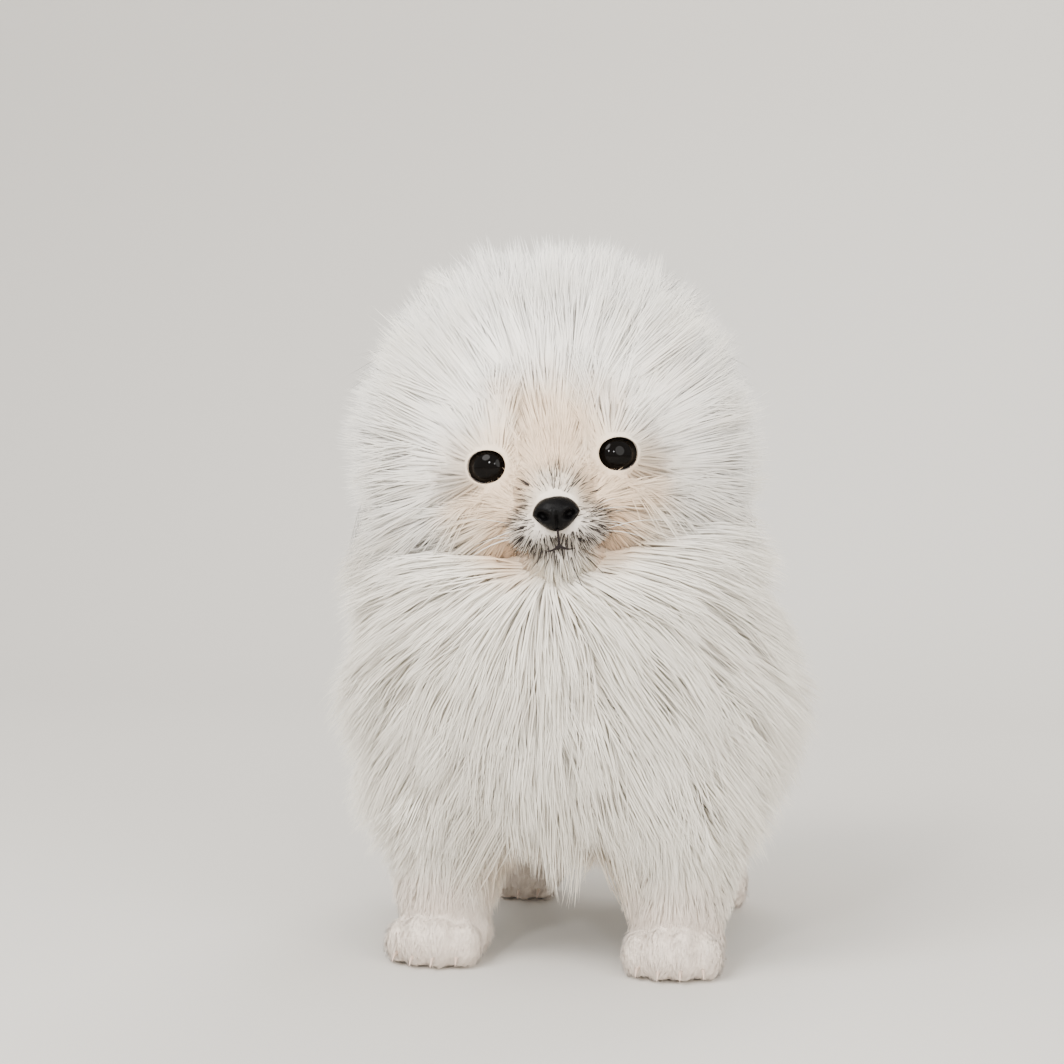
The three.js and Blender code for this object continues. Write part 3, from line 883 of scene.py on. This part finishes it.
def lay_of_coat(points, normals, parts):
    """The way the coat runs at each root, along the skin."""
    local = to_head(points)
    angle = face_distance(points)
    out = unit(local - HEAD_COAT.centre)
    away = out - (out @ FACE_AXIS)[:, None] * FACE_AXIS
    behind = smooth(angle, 100, 150)[:, None]
    head = (unit(away) + np.array((0, 0.4, 0.02)) + behind * np.array((0, 0, -1.8))) @ HEAD.T
    face = (unit(local - NOSE - np.array((0, -2, 2))) + np.array((0, 0.55, -0.05))) @ HEAD.T
    head = mix(unit(face), unit(head), smooth(angle, 30, 62)[:, None])
    for s in (1, -1):
        from_eye = local - eye_centre(s)
        gap = norms(from_eye)
        beside = (1 - smooth(gap, EYE_RADIUS + 2, EYE_RADIUS + 9))[:, None]
        outward = (unit(from_eye) + np.array((0, 0.5, 0.1))) @ HEAD.T
        head = unit(mix(head, unit(outward), beside * 0.85))
    x, y, _ = points.T
    front = smooth(-y, 10, 50)
    down = 0.4 + 0.7 * smooth(np.abs(x), 5, 60) + front
    fan = 0.004 + 0.016 * front
    index, _ = TAIL.nearest(points)
    ways = {
        "head": head,
        "neck": unit(points - THROAT) + np.array((0, 0.25, -0.9)),
        "torso": np.stack([x * fan, 1 - 0.9 * front, -down], axis=1),
        "tail": TAIL.along[index] + normals * 0.5,
        "legs": np.array((0.0, 0.12, -1.0)),
        "paws": np.array((0.0, -1.0, -0.55)),
    }
    total = sum(unit(way) * parts[name][:, None] for name, way in ways.items())
    total -= (total * normals).sum(axis=1)[:, None] * normals
    return unit(total)


def coat_density(points):
    """Tufts on a square millimetre, with none on the nose, on the eyes and under the soles."""
    local = to_head(points)
    parts = shares(points)
    fine = parts["head"] * (1 - smooth(face_distance(points), 52, 80))
    _, y, z = points.T
    body = BODY_TUFTS - 0.18 * smooth(y, 0, 40)
    under = smooth(60 - z, 0, 14) * parts["torso"]
    number = mix(mix(body, BELLY_TUFTS, under * 0.5), FACE_TUFTS, fine)
    limb = mix(PAW_TUFTS, LEG_TUFTS, smooth(z, 16, 34)) * mix(1, 0.7, smooth(y, 10, 40))
    number = mix(number, limb, np.clip(parts["paws"] + parts["legs"], 0, 1))
    bare = (norms(local - NOSE) < 6.6) | (z < 1.0)
    for s in (1, -1):
        from_eye = local - eye_centre(s)
        across, up, _ = eye_frame(s)
        round_eye = np.hypot(from_eye @ across / (EYE_HALF[0] + 0.4),
                             from_eye @ up / (EYE_HALF[1] + 0.4))
        bare |= (round_eye < 1) & (norms(from_eye) < 14)
    return np.where(bare, 0, number)


def coat_lengths(points, ways, parts):
    """How long a tuft may grow before its tip leaves the outline of the coat."""
    length = np.full(len(points), LEAST_LENGTH)
    growing = np.arange(len(points))
    for step in LENGTHS:
        tips = points[growing] + ways[growing] * step
        growing = growing[in_coat(tips) & (tips[:, 2] > TIP_FLOOR_GAP)]
        length[growing] = step
    # the face has short fur, shorter still at the nose and the eyes and longer at the chin
    local = to_head(points)
    angle = face_distance(points)
    short = mix(5.0, 15.0, smooth(angle, 12, 50))
    nose_gap = norms(local - NOSE)
    short = np.minimum(short, 2.8 + 0.42 * np.maximum(0, nose_gap - 7))
    eye_gap = np.min([norms(local - eye_centre(s)) for s in (1, -1)], axis=0)
    short = np.minimum(short, 1.6 + np.maximum(0, eye_gap - EYE_RADIUS - 1.4))
    short = mix(short, 9.0, smooth(-local[:, 2], 27, 33) * (angle < 75))
    allowed = mix(short, length, smooth(angle, 20, 48))
    length = np.where(parts["head"] > 0.5, np.maximum(short, allowed), np.maximum(length, 5.0))
    limbs = np.clip(parts["legs"] + parts["paws"], 0, 1)
    on_limb = mix(3.6, 30.0, smooth(points[:, 2], 13, 56))
    return np.where(limbs > 0.5, np.minimum(length, on_limb), length)


def clump_of(points, spacing, rng):
    """Index of the clump that each tuft gathers to: the nearest of some of the roots."""
    pick = rng.random(len(points)) < np.minimum(1, 1 / np.maximum(spacing, 1.0))
    centres = np.flatnonzero(pick)
    tree = kdtree.KDTree(len(centres))
    for i, centre in enumerate(centres):
        tree.insert(points[centre], i)
    tree.balance()
    return centres[[tree.find(point)[1] for point in points]]


def tuft_mesh(name, tufts, material):
    """One mesh of many tufts: three-sided, tapered, and bent along rings of points.

    Their normals lean to the coat's own outer face, so that it shades as one soft mass.
    """
    rings, side, up, width = (tufts[key] for key in ("rings", "side", "up", "width"))
    count, levels = rings.shape[:2]
    per = 3 * levels - 2
    spots = np.empty((count, per, 3))
    own = np.empty_like(spots)
    for i, size in enumerate(RING_WIDTHS[levels]):
        for j in range(3):
            angle = math.pi / 2 + j * 2 * math.pi / 3
            cos, sin = math.cos(angle), math.sin(angle)
            spots[:, 3 * i + j] = (
                rings[:, i]
                + side * (cos * width * size * HALF_TUFT[0])[:, None]
                + up * (sin * width * size * HALF_TUFT[1])[:, None]
            )
            own[:, 3 * i + j] = side * cos + up * sin
    spots[:, -1] = rings[:, -1]
    own[:, -1] = up
    spots[:, :, 2] = np.maximum(spots[:, :, 2], FLOOR_GAP)
    soft = own * OWN_NORMAL + tufts["out"][:, None, :] * COAT_NORMAL
    faces = []
    for i in range(0, 3 * levels - 6, 3):
        faces += [(i + j, i + 3 + j, i + 3 + (j + 1) % 3, i + (j + 1) % 3) for j in range(3)]
    faces += [(per - 4 + (j + 1) % 3, per - 4 + j, per - 1) for j in range(3)]
    pattern = np.array([i for face in faces for i in face])
    vertices = (np.arange(count)[:, None] * per + pattern[None, :]).ravel()
    totals = np.tile([len(face) for face in faces], count)
    starts = np.concatenate([[0], np.cumsum(totals)[:-1]])
    mesh = bpy.data.meshes.new(name)
    mesh.vertices.add(count * per)
    mesh.vertices.foreach_set("co", to_row(spots.reshape(-1, 3)).ravel())
    mesh.loops.add(len(vertices))
    mesh.loops.foreach_set("vertex_index", vertices.astype(np.int32))
    mesh.polygons.add(len(starts))
    mesh.polygons.foreach_set("loop_start", starts.astype(np.int32))
    mesh.polygons.foreach_set("use_smooth", np.ones(len(starts), dtype=bool))
    depth = np.tile(np.arange(per) // 3 / (levels - 1), count)
    for key, values in (("depth", depth), ("tone", np.repeat(tufts["tone"], per))):
        attribute = mesh.attributes.new(key, "FLOAT", "POINT")
        attribute.data.foreach_set("value", values.astype(np.float32))
    # every tuft has a small patch of its own on the map, at the place of its root
    corner = np.array([((i % 3) / 2 - 0.5, i // 3 / (levels - 1) - 0.5) for i in pattern])
    places = tufts["patches"][:, None, :] + corner[None, :, :] * PATCH_SIZE
    layer = mesh.uv_layers.new(name="OFBake")
    layer.data.foreach_set("uv", places.reshape(-1).astype(np.float32))
    mesh.update(calc_edges=True)
    mesh.normals_split_custom_set_from_vertices(unit(soft.reshape(-1, 3)))
    mesh.materials.append(material)
    return placed_object(name, mesh)


def piece_names(points, parts, on_face, limbs, dark):
    """The piece of the coat that each tuft belongs to."""
    torso, head = parts["torso"] > 0.5, parts["head"] > 0.5
    names = np.full(len(points), "flank", dtype=object)
    for name, chosen in (
        ("ruff", parts["neck"] > 0.5),
        ("chest", torso & (points[:, 1] < -15)),
        ("rump", torso & (points[:, 1] >= 30)),
        ("crown", head),
        ("cheeks", head & (to_head(points)[:, 2] < 0)),
        ("face", on_face > 0.4),
        ("tail", parts["tail"] > 0.5),
        ("legs", limbs > 0.5),
        ("muzzle_dark", dark),
    ):
        names[chosen] = name
    return names


def grow_coat(skin, settings):
    """Lays the tufts over the skin and joins them into one mesh for each part of the coat."""
    rng = np.random.default_rng(settings.seed)
    share = settings.fullness
    roots = Roots(skin, lambda points: coat_density(points) * share, rng)
    points, normals = roots.points, roots.normals
    count = len(points)
    parts = shares(points)
    flow = lay_of_coat(points, normals, parts)
    limbs = np.clip(parts["legs"] + parts["paws"], 0, 1)
    on_face = parts["head"] * (1 - smooth(face_distance(points), 45, 75))
    flat = np.clip(limbs + on_face, 0, 1)
    # the coat stands out most round the lower flanks and lies flat on the face and the limbs
    x, _, z = points.T
    low = smooth(z, 22, 50) * (1 - smooth(z, 100, 125))
    flared = low * smooth(np.abs(x), 28, 48) * (1 - parts["head"])
    rise = mix(mix(*RISE, flat), FLARED_RISE, flared)
    # each clump leans its own way, and each of its tufts a little from that
    clumps = clump_of(points, mix(*CLUMP_SIZE, flat) * share, rng)
    lean = rng.normal(size=(count, 3)) * mix(*CLUMP_LEAN, flat)[:, None]
    lift = rng.normal(size=count) * CLUMP_LIFT
    way = unit(flow + lean[clumps] + rng.normal(size=(count, 3)) * TUFT_LEAN)
    way -= (way * normals).sum(axis=1)[:, None] * normals * 0.6
    way = unit(unit(way) + normals * (rise + lift[clumps])[:, None])
    length = coat_lengths(points, way, parts)
    # round the nose some of the hairs are dark and a little longer
    from_nose = to_head(points) - NOSE
    nose_gap = norms(from_nose)
    below = 0.35 + 0.65 * smooth(-from_nose[:, 2], -3, 5)
    odds = DARK_SHARE * below * (1 - smooth(nose_gap, 8.5, 17.5)) * parts["head"]
    dark = rng.random(count) < odds
    length[dark] = np.maximum(length[dark], 3.2) * 1.3
    way[dark] = unit(way[dark] + normals[dark] * 0.25)
    stretch = 1 + rng.normal(size=count) * 0.06
    length = length * stretch[clumps] * rng.uniform(0.84, 1.02, count)
    # the tips of a clump gather, apart from some loose ones and those too far off
    tips = points + way * length[:, None]
    gather = mix(*GATHER, flat) * rng.uniform(0.4, 1.0, count)
    loose = rng.random(count) < LOOSE_SHARE
    far = norms(points - points[clumps]) > 0.35 * length + 1.5
    gather[loose | far] = 0
    tips = mix(tips, tips[clumps], gather[:, None])
    reached = norms(tips - points)
    across = np.cross(way, normals)
    bend = length * mix(*BEND, flat)
    wave = rng.normal(size=count) * 0.05 * reached
    middle = points + normals * bend[:, None] + (tips - points) * 0.22 + across * wave[:, None]
    base = points - normals * ROOT_DEPTH

    def at(t):
        return base * (1 - t) ** 2 + middle * (2 * t * (1 - t)) + tips * t * t

    side = unit(across)
    grown = {
        "side": side,
        "up": unit(np.cross(side, way)),
        "width": np.clip(0.24 + reached * 0.013, *WIDTHS) * rng.uniform(0.75, 1.2, count),
        "tone": np.clip(0.5 + 0.11 * rng.normal(size=count)
                        + 0.25 * rng.normal(size=count)[clumps], 0, 1),
        "out": unit(normals + way * 0.35),
        "patches": roots.patches,
    }
    names = piece_names(points, parts, on_face, limbs, dark)
    long = reached > LONG
    made = []
    for part in sorted(set(names)):
        material = bpy.data.materials["Dark Hair" if part == "muzzle_dark" else "Coat"]
        for kind, chosen in (("long", long), ("short", ~long)):
            index = np.flatnonzero((names == part) & chosen)
            most = MOST_TRIANGLES // (6 * len(RINGS[kind]) - 9)
            for piece, start in enumerate(range(0, len(index), most)):
                some = index[start:start + most]
                tufts = {key: values[some] for key, values in grown.items()}
                tufts["rings"] = np.stack([at(t)[some] for t in RINGS[kind]], axis=1)
                label = "coat_%s_%s_%d" % (part, kind, piece + 1)
                made.append(tuft_mesh(label, tufts, material))
    return made


# Eyes, nose, mouth, whiskers and claws

def head_object(name, parts, material):
    """Parts given in the head's frame, as one object."""
    points, faces = joined(parts)
    return mesh_object(name, to_row(from_head(points)), faces, material)


def eyeball(side):
    """A ball with a slightly raised, clear-looking front."""
    points, faces = sphere_points(40, 48)
    bulge = 1 + 0.04 * smooth(-points[:, 1], 0.72, 0.95)
    return in_socket(points * bulge[:, None] * (EYE_RADIUS - EYE_PLAY / 2), side), faces


def lid_ring(side):
    """A rounded band round the eye opening, from its edge out onto the skin."""
    across, up, gaze = eye_frame(side)
    points, faces = [], []
    steps, count = 5, 64
    for i in range(count):
        a = 2 * math.pi * i / count
        # the opening is almond shaped: drawn out a little towards the nose and the temple
        draw = 1 + 0.10 * abs(math.cos(a)) ** 6
        for j in range(steps + 1):
            t = j / steps
            grow = mix(*LID_REACH, t)
            x = (EYE_HALF[0] + grow) * math.cos(a) * draw
            z = (EYE_HALF[1] + grow) * math.sin(a) * (1.02 if math.sin(a) > 0 else 0.98)
            swell = LID_RISE * math.sin(math.pi * min(1, t * 1.15))
            deep = EYE_RADIUS + 0.25 + swell - 1.4 * t * t
            y = math.sqrt(max(deep * deep - x * x - z * z, 0.04))
            points.append(eye_centre(side) + across * x + up * z + gaze * y)
    row = steps + 1
    for i in range(count):
        k = (i + 1) % count
        for j in range(steps):
            faces.append((i * row + j, i * row + j + 1, k * row + j + 1, k * row + j))
    return np.array(points), faces


def nose_form():
    """Nose leather: broad above, narrow at the lip, with comma-shaped nostrils and a groove."""
    points, faces = sphere_points(72, 96)
    x, y, z = points.T
    narrow = np.where(z < 0, 1 + 0.40 * z, 1 - 0.10 * z)
    squared = np.sign(x) * np.abs(x) ** 0.85
    wide, deep, tall = NOSE_SIZE
    form = np.stack([squared * wide * narrow, y * deep, z * tall], axis=1)
    across, above = form[:, 0], form[:, 2]
    ahead = smooth(-y, 0.05, 0.5)
    for s in (1, -1):
        # the round of the nostril, then the slit that runs from it to the side
        dx = (across - s * 3.9) / 1.75
        dz = (above + 0.3 - 0.25 * (across * s - 3.9)) / 1.25
        form[:, 1] += np.exp(-((dx * dx + dz * dz) ** 1.4)) * 3.0 * ahead
        dx = (across - s * 6.1) / 1.6
        dz = (above + 1.6) / 0.75
        form[:, 1] += np.exp(-(dx * dx + dz * dz)) * 1.5 * ahead
    groove = np.exp(-((across / 0.45) ** 2)) * smooth(-above, -2.0, 2.5)
    form[:, 1] += groove * 1.1 * ahead
    return form + NOSE, faces


def strand(path, radius, sides=5, count=14, taper=True):
    """A thin, tapered, round strand along a few points."""
    line = spline(path, count)
    along = unit(np.gradient(line, axis=0))
    side = unit(np.cross(along, np.array((0.13, 0.27, 0.95))))
    up = np.cross(side, along)
    points = []
    for i in range(count):
        size = radius * ((1 - i / (count - 1)) ** 0.8 + 0.04 if taper else 1)
        for j in range(sides):
            a = 2 * math.pi * j / sides
            points.append(line[i] + side[i] * math.cos(a) * size + up[i] * math.sin(a) * size)
    return np.array(points), ring_faces(count, sides)


def mouth_lines():
    """Dark lips: a line down from the nose that parts to both sides."""
    parts = [strand([(0, -44.6, -21.2), (0, -44.4, -23.8), (0, -43.2, -26.4)], 0.42, 6, 12, False)]
    for s in (1, -1):
        path = [(0, -43.3, -26.2), (s * 1.6, -42.9, -27.2), (s * 3.2, -42.0, -27.6),
                (s * 4.8, -40.9, -27.4)]
        parts.append(strand(path, 0.5, 6, 16, True))
    return parts


def whisker_strands(rng):
    """The pale and the dark whiskers: some beside the muzzle and a few over each eye."""
    pale, dark = [], []
    for s in (1, -1):
        for i in range(WHISKERS):
            root = np.array((s * rng.uniform(7, 12), rng.uniform(-38, -31), rng.uniform(-24, -17)))
            run = rng.uniform(16, 27)
            drop = rng.uniform(-0.45, 0.25)
            end = root + np.array((s * 0.93, 0.1, drop)) * run
            mid = root + (end - root) * 0.5 + np.array((0, -2.5, 1.5))
            (pale if i % 3 else dark).append(strand([root, mid, end], WHISKER_RADIUS, 4, 10))
        for i in range(BROW_HAIRS):
            root = np.array((s * rng.uniform(9, 14), -28, rng.uniform(8, 12)))
            end = root + np.array((s * 0.35, -0.5, 1.0)) * rng.uniform(8, 12)
            mid = (root + end) / 2 + np.array((0, -1.5, 0))
            pale.append(strand([root, mid, end], BROW_HAIR_RADIUS, 4, 8))
    return pale, dark


def claw_parts():
    """Four claws on each paw, the front paws first."""
    front, hind = zip(paws_of(1), paws_of(-1))
    return [claw for paw in front + hind for claw in paw.claws()]


# Settings, operators and panel

def colour_setting(name, description, default):
    """A colour that the panel shows."""
    return FloatVectorProperty(
        name=name, description=description, subtype="COLOR", default=default)


class PuppySettings(bpy.types.PropertyGroup):
    """The coat's random start, fullness and colours, and the camera's lens"""

    seed: IntProperty(name="Seed", description="Starts the random lay of the coat", default=7)
    fullness: FloatProperty(
        name="Fullness", description="Share of the full number of tufts", default=1.0,
        min=0.05, max=1.3)
    white: colour_setting("White", "Crown and cheeks", (0.93, 0.90, 0.84))
    cream: colour_setting("Cream", "Ruff, chest and body", (0.90, 0.845, 0.735))
    peach: colour_setting("Peach", "Short fur of the face", (0.84, 0.61, 0.40))
    # painted shade in the folds at the mouth's corners, under the cheeks and on the inner legs
    tan: colour_setting("Painted Shade", "Corners of the mouth, inner legs", (0.62, 0.38, 0.20))
    tears: colour_setting("Tears", "Inner corners of the eyes", (0.16, 0.09, 0.06))
    grey: colour_setting("Grey", "Fur round the nose", (0.66, 0.62, 0.58))
    pink: colour_setting("Pink", "Paws", (0.80, 0.66, 0.57))
    # painted shade deep in the coat, towards the roots of the tufts
    under: colour_setting("Root Shade", "Deep in the coat", (0.80, 0.69, 0.56))
    lens: FloatProperty(
        name="Lens", description="Focal length of the camera", default=72.0, min=20, max=200)


def settings_now():
    """The settings of the scene at hand."""
    return bpy.context.scene.puppy


class PUPPY_OT_skin(bpy.types.Operator):
    """Builds the one skin under the whole coat"""

    bl_idname = "puppy.skin"
    bl_label = "Skin"

    def execute(self, context):
        markings_and_shade = (bpy.data.node_groups.get("Coat Markings and Shade")
                    or markings_and_shade_group(settings_now()))
        coat_material("Coat", markings_and_shade, True)
        coat_material("Skin", markings_and_shade, False)
        plain_material("Dark Hair")
        skin = build_skin()
        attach(skin, "root")
        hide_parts(*FLESH)
        return {"FINISHED"}


class PUPPY_OT_coat(bpy.types.Operator):
    """Grows the tufts of the coat over the skin"""

    bl_idname = "puppy.coat"
    bl_label = "Coat"

    def execute(self, context):
        skin = bpy.data.objects["skin"]
        for piece in grow_coat(skin, settings_now()):
            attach(piece, "root")
        return {"FINISHED"}


class PUPPY_OT_eyes(bpy.types.Operator):
    """Adds the eyeballs and the rims of the lids"""

    bl_idname = "puppy.eyes"
    bl_label = "Eyes"

    def execute(self, context):
        eye = plain_material("Eye")
        rim = plain_material("Eye Rim")
        for side, word in ((1, "left"), (-1, "right")):
            ball = head_object("eyeball_" + word, [eyeball(side)], eye)
            lid = head_object("eye_rim_" + word, [lid_ring(side)], rim)
            for piece in (ball, lid):
                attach(piece, "root")
            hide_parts("eye_" + word)
        return {"FINISHED"}


class PUPPY_OT_muzzle(bpy.types.Operator):
    """Adds the nose leather, the dark lips and the whiskers"""

    bl_idname = "puppy.muzzle"
    bl_label = "Muzzle"

    def execute(self, context):
        nose = head_object("nose_leather", [nose_form()], plain_material("Nose Leather"))
        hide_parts("nose")
        pale, dark = whisker_strands(np.random.default_rng(21))
        pieces = [
            nose,
            head_object("lips", mouth_lines(), plain_material("Lips")),
            head_object("whiskers_pale", pale, plain_material("Pale Whisker")),
            head_object("whiskers_dark", dark, plain_material("Dark Whisker")),
        ]
        for piece in pieces:
            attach(piece, "root")
        return {"FINISHED"}


class PUPPY_OT_claws(bpy.types.Operator):
    """Adds a small claw to every toe"""

    bl_idname = "puppy.claws"
    bl_label = "Claws"

    def execute(self, context):
        points, faces = joined(claw_parts())
        claws = mesh_object("claws", to_row(points), faces, plain_material("Claw"))
        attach(claws, "root")
        return {"FINISHED"}


# The lights: place and size in metres, power and colour
LIGHTS = {
    "key light": ((-0.55, -1.0, 1.15), 0.9, 27, (1.0, 0.985, 0.96)),
    "fill light": ((0.9, -0.9, 0.55), 0.9, 12, (1.0, 0.98, 0.95)),
    "rim light": ((0.2, 0.8, 1.1), 0.7, 10, (1, 1, 1)),
    "left catch light": ((-0.10, -0.85, 0.42), 0.10, 3.0, (1, 1, 1)),
    "right catch light": ((0.32, -0.95, 0.40), 0.08, 2.0, (1, 1, 1)),
}
LIT_PLACE = (0, 0, 0.13)
DAYLIGHT = {"Color": (1.0, 0.985, 0.96, 1), "Strength": 1.25}
# The backdrop, in metres: half its width, its near edge, its bend, and its height
HALF_WIDTH = 3.5
NEAR_EDGE = -2.5
BEND_START = 0.55
BEND_RADIUS = 0.5
TOP = 3.0


def studio_light(name):
    """One of the lights, aimed at the middle of the dog."""
    place, size, power, colour = LIGHTS[name]
    data = bpy.data.lights.new(name, "AREA")
    data.shape = "DISK"
    data.size = size
    data.energy = power
    data.color = colour
    made = placed_object(name, data)
    made.location = place
    aim = Vector(LIT_PLACE) - Vector(place)
    made.rotation_euler = aim.to_track_quat("-Z", "Y").to_euler()
    return made


def backdrop_form():
    """A floor that bends up into a wall, as points and faces in metres."""
    outline = [(NEAR_EDGE, 0.0), (BEND_START, 0.0)]
    for i in range(1, 13):
        a = math.pi / 2 * i / 12
        outline.append((BEND_START + BEND_RADIUS * math.sin(a),
                        BEND_RADIUS - BEND_RADIUS * math.cos(a)))
    outline.append((BEND_START + BEND_RADIUS, TOP))
    points = [(x, y, z) for y, z in outline for x in (-HALF_WIDTH, HALF_WIDTH)]
    faces = [(i, i + 1, i + 3, i + 2) for i in range(0, len(points) - 2, 2)]
    return points, faces


class PUPPY_OT_stage(bpy.types.Operator):
    """Adds the floor and backdrop, the lights and the camera"""

    bl_idname = "puppy.stage"
    bl_label = "Stage"

    def execute(self, context):
        backdrop = mesh_object("backdrop", *backdrop_form(), plain_material("Backdrop"))
        lights = [studio_light(name) for name in LIGHTS]
        world = bpy.data.worlds.new("studio")
        world.use_nodes = True
        set_inputs(world.node_tree.nodes["Background"], DAYLIGHT)
        context.scene.world = world
        data = bpy.data.cameras.new("camera")
        data.lens = settings_now().lens
        data.sensor_width = 36
        data.clip_start = 0.02
        camera = placed_object("camera", data)
        camera.location = to_row(CAMERA_PLACE)
        camera.rotation_euler = (math.radians(90 - CAMERA_DROP), 0, math.radians(CAMERA_TURN))
        context.scene.camera = camera
        return {"FINISHED"}


class PUPPY_PT_panel(bpy.types.Panel):
    """Lists the steps that build the puppy"""

    bl_idname = "PUPPY_PT_panel"
    bl_label = "Pomeranian Puppy"
    bl_space_type = "VIEW_3D"
    bl_region_type = "UI"
    bl_category = "Puppy"

    def draw(self, context):
        settings = settings_now()
        column = self.layout.column()
        for name in PuppySettings.__annotations__:
            column.prop(settings, name)
        for step in STEPS:
            column.operator(step.bl_idname)


STEPS = (PUPPY_OT_skin, PUPPY_OT_coat, PUPPY_OT_eyes, PUPPY_OT_muzzle, PUPPY_OT_claws,
         PUPPY_OT_stage)
CLASSES = (PuppySettings,) + STEPS + (PUPPY_PT_panel,)


def register():
    for made in CLASSES:
        bpy.utils.register_class(made)
    bpy.types.Scene.puppy = PointerProperty(type=PuppySettings)


def unregister():
    del bpy.types.Scene.puppy
    for made in reversed(CLASSES):
        bpy.utils.unregister_class(made)


def main():
    register()
    bpy.ops.puppy.skin()
    bpy.ops.puppy.coat()
    bpy.ops.puppy.eyes()
    bpy.ops.puppy.muzzle()
    bpy.ops.puppy.claws()
    bpy.ops.puppy.stage()


if __name__ == "__main__":
    main()
